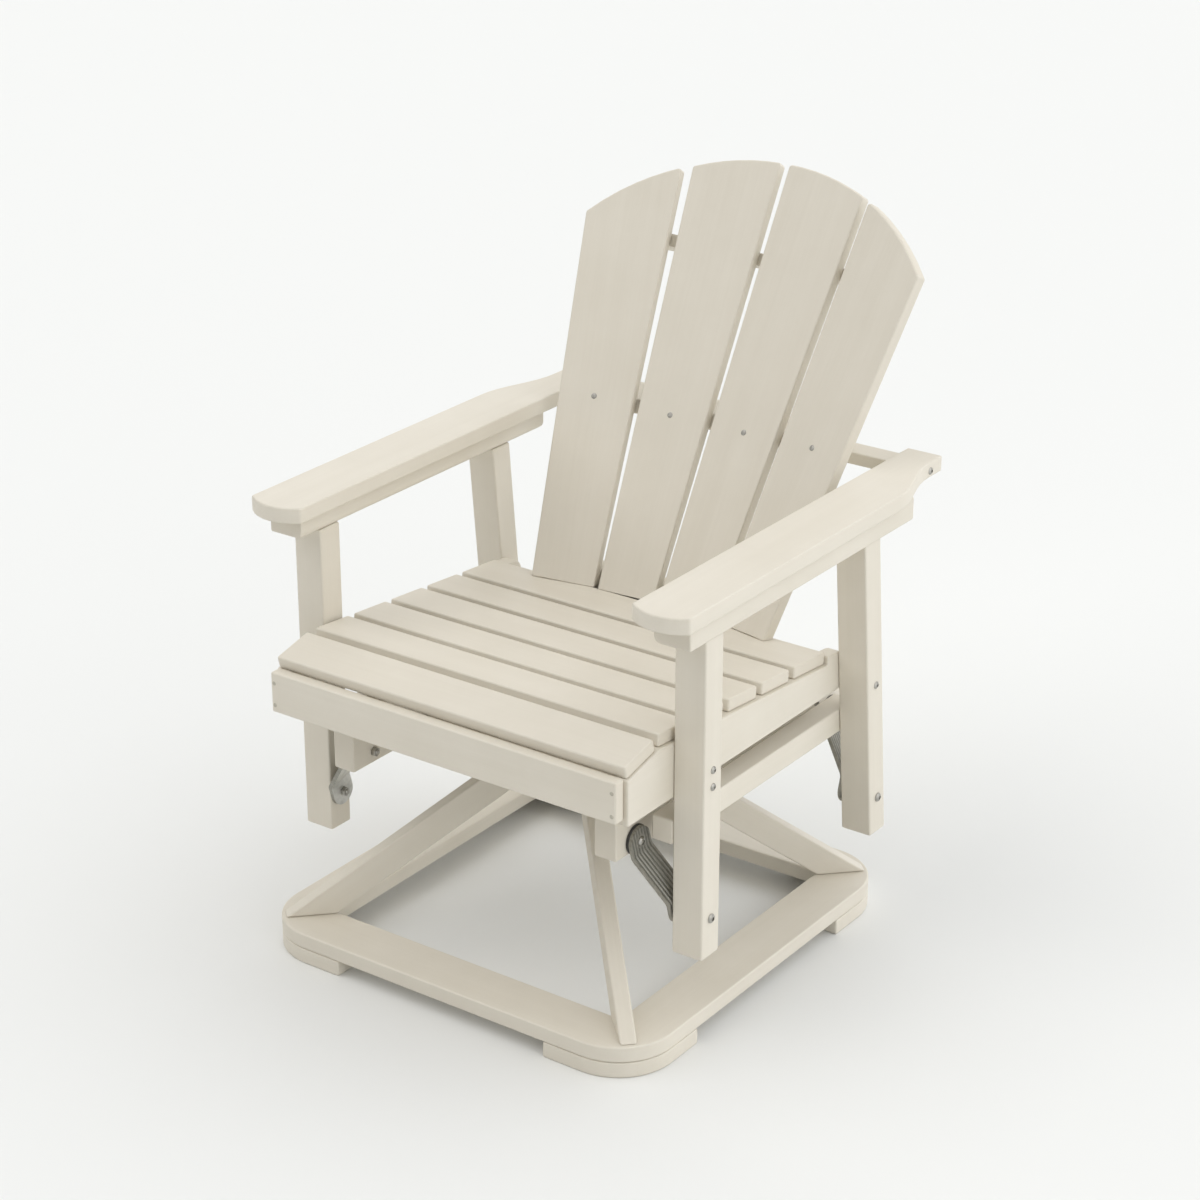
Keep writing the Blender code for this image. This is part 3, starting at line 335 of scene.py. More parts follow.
class Nodes:
    """Adds nodes to a tree, with their settings first and then their sockets."""

    def __init__(self, tree):
        self.tree = tree
        tree.nodes.clear()

    def add(self, kind, settings=None, values=None):
        """A new node, whose sockets take plain values, numbers of the tree or links."""
        node = self.tree.nodes.new(kind)
        for name, setting in (settings or {}).items():
            setattr(node, name, setting)
        for name, value in (values or {}).items():
            socket = node.inputs[name]
            if isinstance(value, Number):
                value = value.socket
            if isinstance(value, bpy.types.NodeSocket):
                self.tree.links.new(value, socket)
            else:
                socket.default_value = value
        return node

    def value(self, socket):
        """A socket as a number."""
        return Number(self, socket)

    def noise(self, place, scale, detail, rough):
        """A cloudy pattern, around 0.5."""
        node = self.add("ShaderNodeTexNoise", None,
                        {"Vector": place, "Scale": scale, "Detail": detail, "Roughness": rough})
        return self.value(node.outputs["Fac"])

    def stretched(self, place, scale):
        """A place multiplied along each axis, so that its pattern shrinks there."""
        node = self.add("ShaderNodeMapping", None, {"Vector": place, "Scale": scale})
        return node.outputs["Vector"]

    def named(self, attribute):
        """What a surface's own attribute holds."""
        return self.add("ShaderNodeAttribute", {"attribute_name": attribute}).outputs

    def mixed(self, factor, first, second):
        """A colour between two colours."""
        node = self.add("ShaderNodeMix", {"data_type": "RGBA"}, {0: factor, 6: first, 7: second})
        return node.outputs[2]

    def bump(self, height, strength, distance):
        """A surface direction that follows small heights."""
        node = self.add("ShaderNodeBump", None,
                        {"Height": height, "Strength": strength, "Distance": distance})
        return node.outputs["Normal"]


def new_finish(name):
    """A material with one Principled shader, and the tree to draw its details in."""
    finish = bpy.data.materials.new(name)
    finish.use_nodes = True
    sheet = Nodes(finish.node_tree)
    shader = sheet.add("ShaderNodeBsdfPrincipled")
    sheet.add("ShaderNodeOutputMaterial", None, {"Surface": shader.outputs[0]})
    return finish, sheet, shader


def feed(sheet, shader, **sockets):
    """Links values that vary over the surface into the shader, by socket name."""
    for name, value in sockets.items():
        socket = shader.inputs[name.replace("_", " ")]
        value = value.socket if isinstance(value, Number) else value
        sheet.tree.links.new(value, socket)


def lumber_finish():
    """Solid plastic lumber: brushed lengthwise, faintly mottled, with sawn ends."""
    finish, sheet, shader = new_finish("plastic_lumber")
    along = sheet.named("board_place")["Vector"]
    ends = sheet.value(sheet.named("board_end")["Fac"])
    streaks = sheet.noise(sheet.stretched(along, (3, 260, 260)), scale=1.0, detail=4.0, rough=0.62)
    broad = sheet.noise(sheet.stretched(along, (1.2, 34, 34)), scale=1.0, detail=3.0, rough=0.55)
    cloud = sheet.noise(along, scale=9.0, detail=4.0, rough=0.6)
    speck = sheet.noise(along, scale=1500.0, detail=2.0, rough=0.7)
    saw = sheet.noise(sheet.stretched(along, (40, 30, 900)), scale=1.0, detail=2.0, rough=0.6)
    tone = (streaks * 0.22 + broad * 0.33 + cloud * 0.45).over(0.34, 0.66)
    pale = sheet.mixed(tone, LUMBER_DARK, LUMBER_LIGHT)
    sawn = sheet.mixed(ends * 0.5, pale, LUMBER_SAWN_END)
    dotted = sheet.mixed(speck.over(0.60, 0.78) * 0.22, sawn, LUMBER_SPECK)
    height = (streaks * 0.35 + speck * 0.25) * (1 - ends) + ends * saw
    feed(sheet, shader, Base_Color=dotted, Roughness=(streaks + cloud).over(0.6, 1.4) * 0.14 + 0.44,
         Normal=sheet.bump(height, strength=0.22, distance=0.0006))
    shader.inputs["Specular IOR Level"].default_value = 0.42
    return finish


def arm_finish():
    """Dull grey metal of the swing arms, faintly spangled, with shade painted dark down in its flutes.
    """
    finish, sheet, shader = new_finish("fluted_arm_metal")
    place = sheet.add("ShaderNodeTexCoord").outputs["Object"]
    spangle = sheet.add("ShaderNodeTexVoronoi", {"feature": "F1"}, {"Vector": place, "Scale": 150.0})
    flake = sheet.value(spangle.outputs["Distance"])
    cloud = sheet.noise(place, scale=38.0, detail=4.0, rough=0.6)
    grain = sheet.noise(place, scale=620.0, detail=3.0, rough=0.6)
    tone = (flake * 0.30 + cloud * 0.70).over(0.30, 0.66)
    colour = sheet.mixed(tone, ARM_METAL_DARK, ARM_METAL_LIGHT)
    groove = sheet.value(sheet.named("groove")["Fac"])
    # Painted shade: the colour darkens down in the flutes, by their depth
    flute_shaded = sheet.mixed(groove.over(0.25, 0.95) * 0.60, colour, ARM_FLUTE_PAINTED_SHADE)
    feed(sheet, shader, Base_Color=flute_shaded, Roughness=cloud.over(0.35, 0.65) * 0.16 + 0.46,
         Normal=sheet.bump(grain * 0.5 + flake * 0.5, strength=0.12, distance=0.0004))
    shader.inputs["Metallic"].default_value = 0.7
    return finish


def metal_finish(name, dark, light, roughness, scale, metallic):
    """Plain metal, a little uneven in colour and gloss."""
    finish, sheet, shader = new_finish(name)
    place = sheet.add("ShaderNodeTexCoord").outputs["Object"]
    cloud = sheet.noise(place, scale, detail=4.0, rough=0.6)
    grain = sheet.noise(place, scale * 9, detail=3.0, rough=0.6)
    colour = sheet.mixed(cloud.over(0.32, 0.68), dark, light)
    feed(sheet, shader, Base_Color=colour,
         Roughness=cloud.over(0.3, 0.7) * 0.16 + (roughness - 0.08),
         Normal=sheet.bump(grain, strength=0.12, distance=0.0002))
    shader.inputs["Metallic"].default_value = metallic
    return finish


def nylon_finish():
    """Black nylon of the spacers."""
    finish, sheet, shader = new_finish("black_nylon")
    place = sheet.add("ShaderNodeTexCoord").outputs["Object"]
    cloud = sheet.noise(place, scale=220.0, detail=3.0, rough=0.6)
    colour = sheet.mixed(cloud.over(0.35, 0.65), NYLON_DARK, NYLON_LIGHT)
    feed(sheet, shader, Base_Color=colour, Roughness=cloud * 0.25 + 0.32,
         Normal=sheet.bump(cloud, strength=0.1, distance=0.0003))
    return finish


# Meshes

def new_object(name, form, matrix=None):
    """A mesh object from a bmesh, with its place in the mesh."""
    mesh = bpy.data.meshes.new(name)
    if matrix:
        form.transform(matrix)
    form.to_mesh(mesh)
    form.free()
    piece = bpy.data.objects.new(name, mesh)
    bpy.context.scene.collection.objects.link(piece)
    return piece


def applied(piece):
    """The piece with its modifiers worked into a plain mesh."""
    bpy.context.view_layer.update()
    depsgraph = bpy.context.evaluated_depsgraph_get()
    mesh = bpy.data.meshes.new_from_object(piece.evaluated_get(depsgraph), depsgraph=depsgraph)
    piece.modifiers.clear()
    old = piece.data
    piece.data = mesh
    bpy.data.meshes.remove(old)
    mesh.name = piece.name
    return piece


def smoothed(piece, angle=METAL_SHARP_ANGLE):
    """The piece with smooth shading up to its crisp edges."""
    piece.data.shade_smooth()
    piece.data.set_sharp_from_angle(angle=angle)
    return piece


def smoothed_board(board, angle):
    """The board with smooth rounded edges beside flat faces."""
    smoothed(board, angle)
    firm = board.modifiers.new("firm_faces", "WEIGHTED_NORMAL")
    firm.keep_sharp = True
    firm.weight = FLAT_FACE_WEIGHT
    return applied(board)


def finished(piece, body, finish=None):
    """The piece painted, and moving with its body."""
    if finish:
        piece.data.materials.clear()
        piece.data.materials.append(finish)
    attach(piece, body)
    return piece


# Boards

def turned_grain(*turns):
    """The grain of a board along X, turned by angles about axes in order."""
    grain = Matrix.Identity(3)
    for angle, axis in turns:
        grain = Matrix.Rotation(angle, 3, axis) @ grain
    return grain


def board_grain(name):
    """How a board's grain lies: a rotation that takes X to the length of the board."""
    quarter = math.pi / 2
    if name in BACK_FAN:
        return turned_grain((-quarter, "Y"), (BACK_FAN[name], "Y"), (-BACK_RECLINE, "X"))
    if name.startswith("diagonal_leg_"):
        eighths = {"front_right": -1, "rear_right": 1, "rear_left": 3, "front_left": 5}
        turn = eighths[name.removeprefix("diagonal_leg_")] * math.pi / 4
        return turned_grain((LEG_SLOPE, "Y"), (turn, "Z"))
    if name.startswith("rear_leg_"):
        return turned_grain((-quarter, "Y"), (REAR_LEG_RAKE, "X"))
    if name.startswith("front_leg_"):
        return turned_grain((-quarter, "Y"))
    if name == "seat_slat_0":
        return turned_grain((NOSING_SLOPE, "X"))
    if name.startswith("seat_slat_"):
        return turned_grain((-SEAT_SLOPE, "X"))
    lengthwise = ("arm_left", "arm_right", "underarm_", "side_rail_", "stretcher_", "carriage_rail_")
    if name.startswith(lengthwise):
        return turned_grain((quarter, "Z"))
    return Matrix.Identity(3)


def make_board(name, index, finish):
    """A board with smoothly rounded edges and its grain's own coordinates."""
    form = bmesh.new()
    form.from_mesh(nodes[name].data)
    bmesh.ops.remove_doubles(form, verts=form.verts, dist=MERGE)
    bmesh.ops.dissolve_limit(form, angle_limit=FLAT_ANGLE, verts=form.verts, edges=form.edges)
    board = new_object(name + "_board", form)
    mesh = smoothed_board(board, BOARD_SHARP_ANGLE).data
    grain = board_grain(name).transposed()
    shift = Vector([index * step for step in BOARD_PATTERN_STEP])
    place = mesh.attributes.new("board_place", "FLOAT_VECTOR", "POINT")
    for vertex, entry in zip(mesh.vertices, place.data):
        entry.vector = grain @ vertex.co + shift
    end = mesh.attributes.new("board_end", "FLOAT", "FACE")
    routed = name.startswith(("corner_pad_", "arm_"))
    for face, entry in zip(mesh.polygons, end.data):
        entry.value = 1.0 if not routed and abs((grain @ face.normal).x) > END_GRAIN_COSINE else 0.0
    finished(board, nodes[name]["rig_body"], finish)
    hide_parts(name)


def make_boards(finish):
    """Every board apart from the ring's rails, which make_ring joins into one."""
    others = ("ring_rail_", "swing_arm_", "upper_pivot_bolt_", "lower_pivot_bolt_", "lower_swivel_",
              "upper_swivel_", "swivel_ball_")
    boards = sorted(name for name in nodes if not name.startswith(others))
    for index, name in enumerate(boards):
        make_board(name, index, finish)


def ring_row(form, inset, height):
    """One level of the ring: its rounded outside, corner by corner, and its four inside corners."""
    outside, inside = [], []
    for corner in range(4):
        turn = Matrix.Rotation(corner * math.pi / 2, 3, "Z")
        middle = RING_HALF - RING_CORNER
        radius = RING_CORNER - inset
        arc = []
        for step in range(RING_CORNER_STEPS + 1):
            angle = step / RING_CORNER_STEPS * math.pi / 2
            point = (middle + radius * math.cos(angle), middle + radius * math.sin(angle), height)
            arc.append(form.verts.new(turn @ Vector(point)))
        reach = RING_HALF - RING_WIDTH + inset
        outside.append(arc)
        inside.append(form.verts.new(turn @ Vector((reach, reach, height))))
    return outside, inside


def ring_levels():
    """Inset and height of each level of the ring, with its long edges rounded."""
    levels = []
    for step in range(BOARD_EDGE_STEPS + 1):
        angle = step / BOARD_EDGE_STEPS * math.pi / 2
        levels.append((BOARD_EDGE * (1 - math.sin(angle)), BOARD_EDGE * (1 - math.cos(angle))))
    return levels + [(inset, RING_THICKNESS - height) for inset, height in reversed(levels)]


def close_ring(form, rows):
    """Walls between the levels of the ring, then its underside and its top."""
    for (low_out, low_in), (high_out, high_in) in zip(rows, rows[1:]):
        low = [vertex for arc in low_out for vertex in arc]
        high = [vertex for arc in high_out for vertex in arc]
        for first, second in ((low, high), (low_in, high_in)):
            for step in range(len(first)):
                after = (step + 1) % len(first)
                form.faces.new((first[step], first[after], second[after], second[step]))
    for outside, inside in (rows[0], rows[-1]):
        for corner in range(4):
            after = (corner + 1) % 4
            arc = outside[corner]
            for first, second in zip(arc, arc[1:]):
                form.faces.new((first, second, inside[corner]))
            form.faces.new((arc[-1], outside[after][0], inside[after], inside[corner]))


def lay_grain_round(mesh):
    """Coordinates for the ring's grain: the way round the swivel axis, the way out and the height."""
    around = 8 * RING_HALF
    place = mesh.attributes.new("board_place", "FLOAT_VECTOR", "CORNER")
    for face in mesh.polygons:
        turns = []
        for vertex in face.vertices:
            x, y, _ = mesh.vertices[vertex].co
            turns.append(math.atan2(y - SWIVEL_AXIS_Y, x) / (2 * math.pi) % 1.0)
        for loop, vertex, turn in zip(face.loop_indices, face.vertices, turns):
            x, y, z = mesh.vertices[vertex].co
            # A face across the start of the turn counts its far corners one lap on
            lap = 1.0 if max(turns) - turn > 0.5 else 0.0
            reach = max(abs(x), abs(y - SWIVEL_AXIS_Y))
            place.data[loop].vector = ((turn + lap) * around, reach, z)


def make_ring(finish):
    """The base ring as one seamless board, with its grain running round it."""
    form = bmesh.new()
    rows = [ring_row(form, inset, RING_LOW + height) for inset, height in ring_levels()]
    close_ring(form, rows)
    bmesh.ops.recalc_face_normals(form, faces=form.faces)
    ring = new_object("base_ring_board", form, Matrix.Translation((0, SWIVEL_AXIS_Y, 0)))
    smoothed_board(ring, METAL_SHARP_ANGLE)
    lay_grain_round(ring.data)
    finished(ring, "base", finish)
    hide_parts("ring_rail_front", "ring_rail_right", "ring_rail_rear", "ring_rail_left")


# Swing arms

def bend_x(z, lift):
    """X of one face of a swing arm at a height, with soft bends at both ends of its slant."""
    start = -ARM_BEND_START + lift
    stop = ARM_BEND_START - ARM_LENGTH + lift
    share = min(max((start - z) / (start - stop), 0.0), 1.0)
    soft = ARM_BEND_SOFT_SHARE
    if share < soft:
        eased = share * share / (2 * soft)
    elif share > 1 - soft:
        eased = 1 - soft - (1 - share) ** 2 / (2 * soft)
    else:
        eased = share - soft / 2
    return ARM_UPPER_X + (ARM_LOWER_X - ARM_UPPER_X) * eased / (1 - soft)


def arm_stations():
    """Heights down the arm with its half width at each, close together at the round ends."""
    stations = []
    for step in range(1, ARM_END_STEPS + 1):
        angle = step / ARM_END_STEPS * math.pi / 2
        stations.append((ARM_HALF_WIDTH * math.cos(angle), ARM_HALF_WIDTH * math.sin(angle)))
    for step in range(1, ARM_STATIONS):
        stations.append((-ARM_LENGTH * step / ARM_STATIONS, ARM_HALF_WIDTH))
    for step in range(ARM_END_STEPS):
        angle = step / ARM_END_STEPS * math.pi / 2
        stations.append((-ARM_LENGTH - ARM_HALF_WIDTH * math.sin(angle),
                         ARM_HALF_WIDTH * math.cos(angle)))
    return stations


def flute(y, z):
    """Depth of the flutes at a place on the arm, with none on the pads round its pivots."""
    if abs(y) > FLUTE_BAND / 2:
        return 0.0
    turn = 2 * math.pi * FLUTE_COUNT * (y / FLUTE_BAND + 0.5)
    pivot = min(math.hypot(y, z), math.hypot(y, z + ARM_LENGTH))
    fade = min(max((pivot - PIVOT_PAD_RADIUS) / PIVOT_PAD_FADE, 0.0), 1.0)
    return FLUTE_DEPTH * (0.5 - 0.5 * math.cos(turn)) * fade


def arm_face(form, groove, outer):
    """Rows of points down the plain inner face of a swing arm, or down its fluted outer face."""
    lift = outer * ARM_THICKNESS * ARM_OUTER_BEND_SHARE
    rows = []
    for z, half in arm_stations():
        row = []
        for step in range(ARM_ACROSS + 1):
            y = half * (2 * step / ARM_ACROSS - 1)
            depth = outer * flute(y, z)
            x = bend_x(z, lift) + outer * ARM_THICKNESS - depth
            vertex = form.verts.new((x, y, z))
            vertex[groove] = depth / FLUTE_DEPTH
            row.append(vertex)
        rows.append(row)
    return rows


def fluted_arm():
    """A bent flat bar with round ends and lengthwise flutes, hanging from the origin along -Z."""
    form = bmesh.new()
    groove = form.verts.layers.float.new("groove")
    faces = [arm_face(form, groove, outer) for outer in (0, 1)]
    for rows in faces:
        for upper, lower in zip(rows, rows[1:]):
            for step in range(ARM_ACROSS):
                form.faces.new((upper[step], upper[step + 1], lower[step + 1], lower[step]))
    inner, outer = faces
    rims = [(inner[0], outer[0]), (inner[-1], outer[-1])]
    rims += [([row[end] for row in inner], [row[end] for row in outer]) for end in (0, -1)]
    for first, second in rims:
        for step in range(len(first) - 1):
            form.faces.new((first[step], first[step + 1], second[step + 1], second[step]))
    bmesh.ops.remove_doubles(form, verts=form.verts, dist=MERGE)
    bmesh.ops.recalc_face_normals(form, faces=form.faces)
    return form


def drilled(piece, name, radius, place):
    """Drills a round hole along X through the piece, and returns the drill that its cut needs."""
    form = bmesh.new()
    bmesh.ops.create_cone(form, cap_ends=True, segments=TURN_STEPS, radius1=radius, radius2=radius,
                          depth=DRILL_LENGTH, matrix=Matrix.Rotation(math.pi / 2, 4, "Y"))
    drill = new_object(name, form, Matrix.Translation(place))
    hole = piece.modifiers.new(name, "BOOLEAN")
    hole.operation = "DIFFERENCE"
    hole.solver = "EXACT"
    hole.object = drill
    return drill


def make_swing_arms(finish, painted_light_inner_finish):
    """The four swing arms, splayed outwards from their upper pivots, with painted light on their paler
    inner faces.
    """
    for side_name, side in SIDES:
        for end_name, end in (("front", -1), ("rear", 1)):
            name = f"swing_arm_{end_name}_{side_name}"
            arm = new_object(name + "_bar", fluted_arm())
            slack = REAR_HOLE_SLACK if end > 0 else 0
            drills = [drilled(arm, "upper_drill", BOLT_RADIUS + GAP, (ARM_UPPER_X, 0, 0)),
                      drilled(arm, "lower_drill", BOLT_RADIUS + slack + GAP,
                              (ARM_LOWER_X, 0, -ARM_LENGTH))]
            applied(arm)
            for drill in drills:
                bpy.data.objects.remove(drill, do_unlink=True)
            turn = Matrix.Rotation(-end * ARM_TILT, 4, "X")
            if side < 0:
                turn = turn @ Matrix.Rotation(math.pi, 4, "Z")
            y = UPPER_PIVOT_Y[end_name] + SWIVEL_AXIS_Y
            arm.data.transform(Matrix.Translation((0, y, UPPER_PIVOT_Z)) @ turn)
            smoothed(arm)
            finished(arm, name, finish)
            # Painted light: inner faces take the paler plate metal, lighter than the outer faces to
            # stand for the light falling on them
            arm.data.materials.append(painted_light_inner_finish)
            for face in arm.data.polygons:
                face.material_index = int(face.normal.x * side < -ARM_INNER_COSINE)
            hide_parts(name)


# Turned parts

def round_row(form, radius, height, count):
    """Points spaced evenly round Z."""
    angles = [2 * math.pi * step / count for step in range(count)]
    return [form.verts.new((radius * math.cos(angle), radius * math.sin(angle), height))
            for angle in angles]


def turned(form, profile):
    """Adds a shape turned about Z, from a profile (radius, height) that runs from axis to axis."""
    rings = [round_row(form, radius, height, TURN_STEPS if radius > MERGE else 1)
             for radius, height in profile]
    for upper, lower in zip(rings, rings[1:]):
        for step in range(TURN_STEPS):
            after = (step + 1) % TURN_STEPS
            corners = [upper[step % len(upper)], lower[step % len(lower)],
                       lower[after % len(lower)], upper[after % len(upper)]]
            unique = list(dict.fromkeys(corners))
            if len(unique) > 2:
                form.faces.new(unique)


def chamfered_disc(radius, thickness, edge):
    """Profile of a disc with chamfered rims, standing on z = 0."""
    return [(0, thickness), (radius - edge, thickness), (radius, thickness - edge), (radius, edge),
            (radius - edge, 0), (0, 0)]


def bolt_head(radius, height, socket):
    """Profile of a domed head with a round recess for its socket, standing on z = 0."""
    bottom = height * (1 - SOCKET_DEPTH_SHARE)
    points = [(0, bottom), (socket, bottom)]
    start = math.asin(socket / radius)
    for step in range(DOME_STEPS + 1):
        angle = start + (math.pi / 2 - start) * step / DOME_STEPS
        points.append((radius * math.sin(angle), height * math.cos(angle)))
    return points


def hexagon_nut(form, low, high):
    """A hexagon nut around Z between two heights, with turned-down corners."""
    inner = NUT_RADIUS * NUT_FACE_SHARE
    profile = ((inner, high), (NUT_RADIUS, high - NUT_CHAMFER), (NUT_RADIUS, low + NUT_CHAMFER),
               (inner, low))
    rings = [round_row(form, radius, height, HEXAGON) for radius, height in profile]
    for upper, lower in zip(rings, rings[1:]):
        for step in range(HEXAGON):
            after = (step + 1) % HEXAGON
            form.faces.new((upper[step], lower[step], lower[after], upper[after]))
    form.faces.new(rings[0])
    form.faces.new(list(reversed(rings[-1])))


def axle_place(side, x, y, z):
    """A frame whose Z points out of the chair's side."""
    return Matrix.Translation((side * x, y, z)) @ Matrix.Rotation(side * math.pi / 2, 4, "Y")


def make_bolt(name, body, head_x, nut_x, finish):
    """A pivot bolt with its head, shank and nut, along X through its CAD node's middle."""
    low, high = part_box(name)
    side = 1 if low[0] + high[0] > 0 else -1
    y, z = (low[1] + high[1]) / 2, (low[2] + high[2]) / 2
    form = bmesh.new()
    head = [(radius, height + GAP) for radius, height
            in bolt_head(BOLT_HEAD_RADIUS, BOLT_HEAD_HEIGHT, BOLT_SOCKET_RADIUS)]
    nut_top = nut_x - head_x
    nut_low = nut_top - NUT_HEIGHT
    tip = nut_low - THREAD_END
    turned(form, [*head, (BOLT_RADIUS, GAP), (BOLT_RADIUS, tip + THREAD_CHAMFER),
                  (BOLT_RADIUS - THREAD_CHAMFER, tip), (0, tip)])
    hexagon_nut(form, nut_low, nut_top)
    bmesh.ops.recalc_face_normals(form, faces=form.faces)
    bolt = new_object(name.replace("_bolt_", "_steel_bolt_"), form, axle_place(side, head_x, y, z))
    smoothed(bolt)
    finished(bolt, body, finish)
    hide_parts(name)
    return side, y, z


def make_spacer(name, side, y, z, finish):
    """A black disc between a carriage rail and the head of its swing arm."""
    form = bmesh.new()
    turned(form, chamfered_disc(SPACER_RADIUS, SPACER_THICKNESS, SPACER_EDGE))
    bmesh.ops.recalc_face_normals(form, faces=form.faces)
    spacer = new_object(name, form, axle_place(side, SPACER_INSIDE_X, y, z))
    smoothed(spacer)
    finished(spacer, "carriage", finish)


def make_pivots(finish, spacer_finish):
    """The pivot bolts: the upper ones through arm and rail, the lower ones through leg and arm."""
    for name in sorted(nodes):
        if name.startswith("upper_pivot_bolt_"):
            head_x = ARM_UPPER_X + ARM_THICKNESS
            side, y, z = make_bolt(name, "carriage", head_x, RAIL_INSIDE_X - GAP, finish)
            make_spacer(name.replace("_pivot_bolt_", "_spacer_"), side, y, z, spacer_finish)
        elif name.startswith("lower_pivot_bolt_"):
            make_bolt(name, "seat", LEG_OUTSIDE_X, ARM_LOWER_X - GAP, finish)


# Screws and the bearing, made by node trees

def input_of(tree, name, kind, value=None):
    """Gives a tree a named input, and returns the identifier by which a modifier sets it."""
    socket = tree.interface.new_socket(name=name, in_out="INPUT", socket_type=kind)
    if value is not None:
        socket.default_value = value
    return socket.identifier


def screw_tree():
    """Domed heads with a hexagon socket, on every point and facing along its own direction."""
    tree = bpy.data.node_groups.new("screw_heads", "GeometryNodeTree")
    sheet = Nodes(tree)
    input_of(tree, "Places", "NodeSocketGeometry")
    inputs = {name: input_of(tree, name, "NodeSocketFloat") for name in SCREW_SIZES}
    inputs["Finish"] = input_of(tree, "Finish", "NodeSocketMaterial")
    tree.interface.new_socket(name="Heads", in_out="OUTPUT", socket_type="NodeSocketGeometry")
    given = sheet.add("NodeGroupInput")
    radius, height, socket = (sheet.value(given.outputs[name]) for name in SCREW_SIZES)
    ball = sheet.add("GeometryNodeMeshUVSphere", None,
                     {"Segments": HEAD_SEGMENTS, "Rings": HEAD_RINGS, "Radius": 1.0})
    where = sheet.add("ShaderNodeSeparateXYZ", None,
                      {0: sheet.add("GeometryNodeInputPosition").outputs[0]})
    across, along, up = (sheet.value(where.outputs[axis]) for axis in range(3))
    domed = sheet.add("ShaderNodeCombineXYZ", None, {0: across * radius, 1: along * radius,
                                                     2: up.max(0.0) * height})
    dome = sheet.add("GeometryNodeSetPosition", None,
                     {"Geometry": ball.outputs["Mesh"], "Position": domed.outputs[0]})
    key = sheet.add("GeometryNodeMeshCylinder", None,
                    {"Vertices": HEXAGON, "Radius": socket, "Depth": height})
    raised = sheet.add("ShaderNodeCombineXYZ", None, {2: height})
    key_place = sheet.add("GeometryNodeTransform", None,
                          {"Geometry": key.outputs["Mesh"], "Translation": raised.outputs[0]})
    cut = sheet.add("GeometryNodeMeshBoolean", {"operation": "DIFFERENCE", "solver": "EXACT"},
                    {"Mesh 1": dome.outputs[0], "Mesh 2": key_place.outputs[0]})
    facing = sheet.add("GeometryNodeInputNamedAttribute", {"data_type": "FLOAT_VECTOR"},
                       {"Name": "facing"})
    aimed = sheet.add("FunctionNodeAlignRotationToVector", {"axis": "Z"},
                      {"Vector": facing.outputs[0]})
    placed = sheet.add("GeometryNodeInstanceOnPoints", None,
                       {"Points": given.outputs["Places"], "Instance": cut.outputs[0],
                        "Rotation": aimed.outputs[0]})
    real = sheet.add("GeometryNodeRealizeInstances", None, {0: placed.outputs[0]})
    painted = sheet.add("GeometryNodeSetMaterial", None,
                        {"Geometry": real.outputs[0], "Material": given.outputs["Finish"]})
    sheet.add("NodeGroupOutput", None, {0: painted.outputs[0]})
    return tree, inputs


def bearing_tree():
    """Balls spaced evenly round a flat cage ring."""
    tree = bpy.data.node_groups.new("ball_bearing", "GeometryNodeTree")
    sheet = Nodes(tree)
    for name, size in BEARING_SIZES.items():
        input_of(tree, name, "NodeSocketFloat", size)
    input_of(tree, "Ball Count", "NodeSocketInt", BALL_COUNT)
    inputs = {"Centre": input_of(tree, "Centre", "NodeSocketVector"),
              "Finish": input_of(tree, "Finish", "NodeSocketMaterial")}
    tree.interface.new_socket(name="Bearing", in_out="OUTPUT", socket_type="NodeSocketGeometry")
    given = sheet.add("NodeGroupInput")
    path = sheet.add("GeometryNodeCurvePrimitiveCircle", None,
                     {"Resolution": CAGE_STEPS, "Radius": given.outputs["Ring Radius"]})
    section = sheet.add("GeometryNodeCurvePrimitiveQuadrilateral", None,
                        {"Width": given.outputs["Cage Width"],
                         "Height": given.outputs["Cage Thickness"]})
    cage = sheet.add("GeometryNodeCurveToMesh", None,
                     {"Curve": path.outputs[0], "Profile Curve": section.outputs[0]})
    places = sheet.add("GeometryNodeMeshCircle", None,
                       {"Vertices": given.outputs["Ball Count"],
                        "Radius": given.outputs["Ring Radius"]})
    ball = sheet.add("GeometryNodeMeshUVSphere", None,
                     {"Segments": BALL_SEGMENTS, "Rings": BALL_RINGS,
                      "Radius": given.outputs["Ball Radius"]})
    balls = sheet.add("GeometryNodeInstanceOnPoints", None,
                      {"Points": places.outputs["Mesh"], "Instance": ball.outputs["Mesh"]})
    real = sheet.add("GeometryNodeRealizeInstances", None, {0: balls.outputs[0]})
    both = sheet.add("GeometryNodeJoinGeometry", None, {0: real.outputs[0]})
    sheet.tree.links.new(cage.outputs[0], both.inputs[0])
    placed = sheet.add("GeometryNodeTransform", None,
                       {"Geometry": both.outputs[0], "Translation": given.outputs["Centre"]})
    painted = sheet.add("GeometryNodeSetMaterial", None,
                        {"Geometry": placed.outputs[0], "Material": given.outputs["Finish"]})
    sheet.add("NodeGroupOutput", None, {0: painted.outputs[0]})
    return tree, inputs


def make_bearing(finish):
    """The swivel's balls and cage, in the place of their plain solid."""
    low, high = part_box("swivel_ball_ring")
    tree, inputs = bearing_tree()
    bearing = new_object("swivel_balls_and_cage", bmesh.new())
    maker = bearing.modifiers.new("ball_bearing", "NODES")
    maker.node_group = tree
    maker[inputs["Centre"]] = [(a + b) / 2 for a, b in zip(low, high)]
    maker[inputs["Finish"]] = finish
    applied(bearing)
    smoothed(bearing)
    finished(bearing, "ball_ring")
    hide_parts("swivel_ball_ring")


def on_surface(name, start, direction):
    """Where a straight line first meets a CAD node, and which way its surface faces there."""
    mesh = nodes[name].data
    surface = BVHTree.FromPolygons([vertex.co for vertex in mesh.vertices],
                                   [face.vertices for face in mesh.polygons])
    hit, normal, _, _ = surface.ray_cast(Vector(start), Vector(direction).normalized())
    if hit is None:
        raise ValueError(f"no surface of {name} lies along that line")
    return hit, normal if normal.dot(Vector(direction)) < 0 else -normal


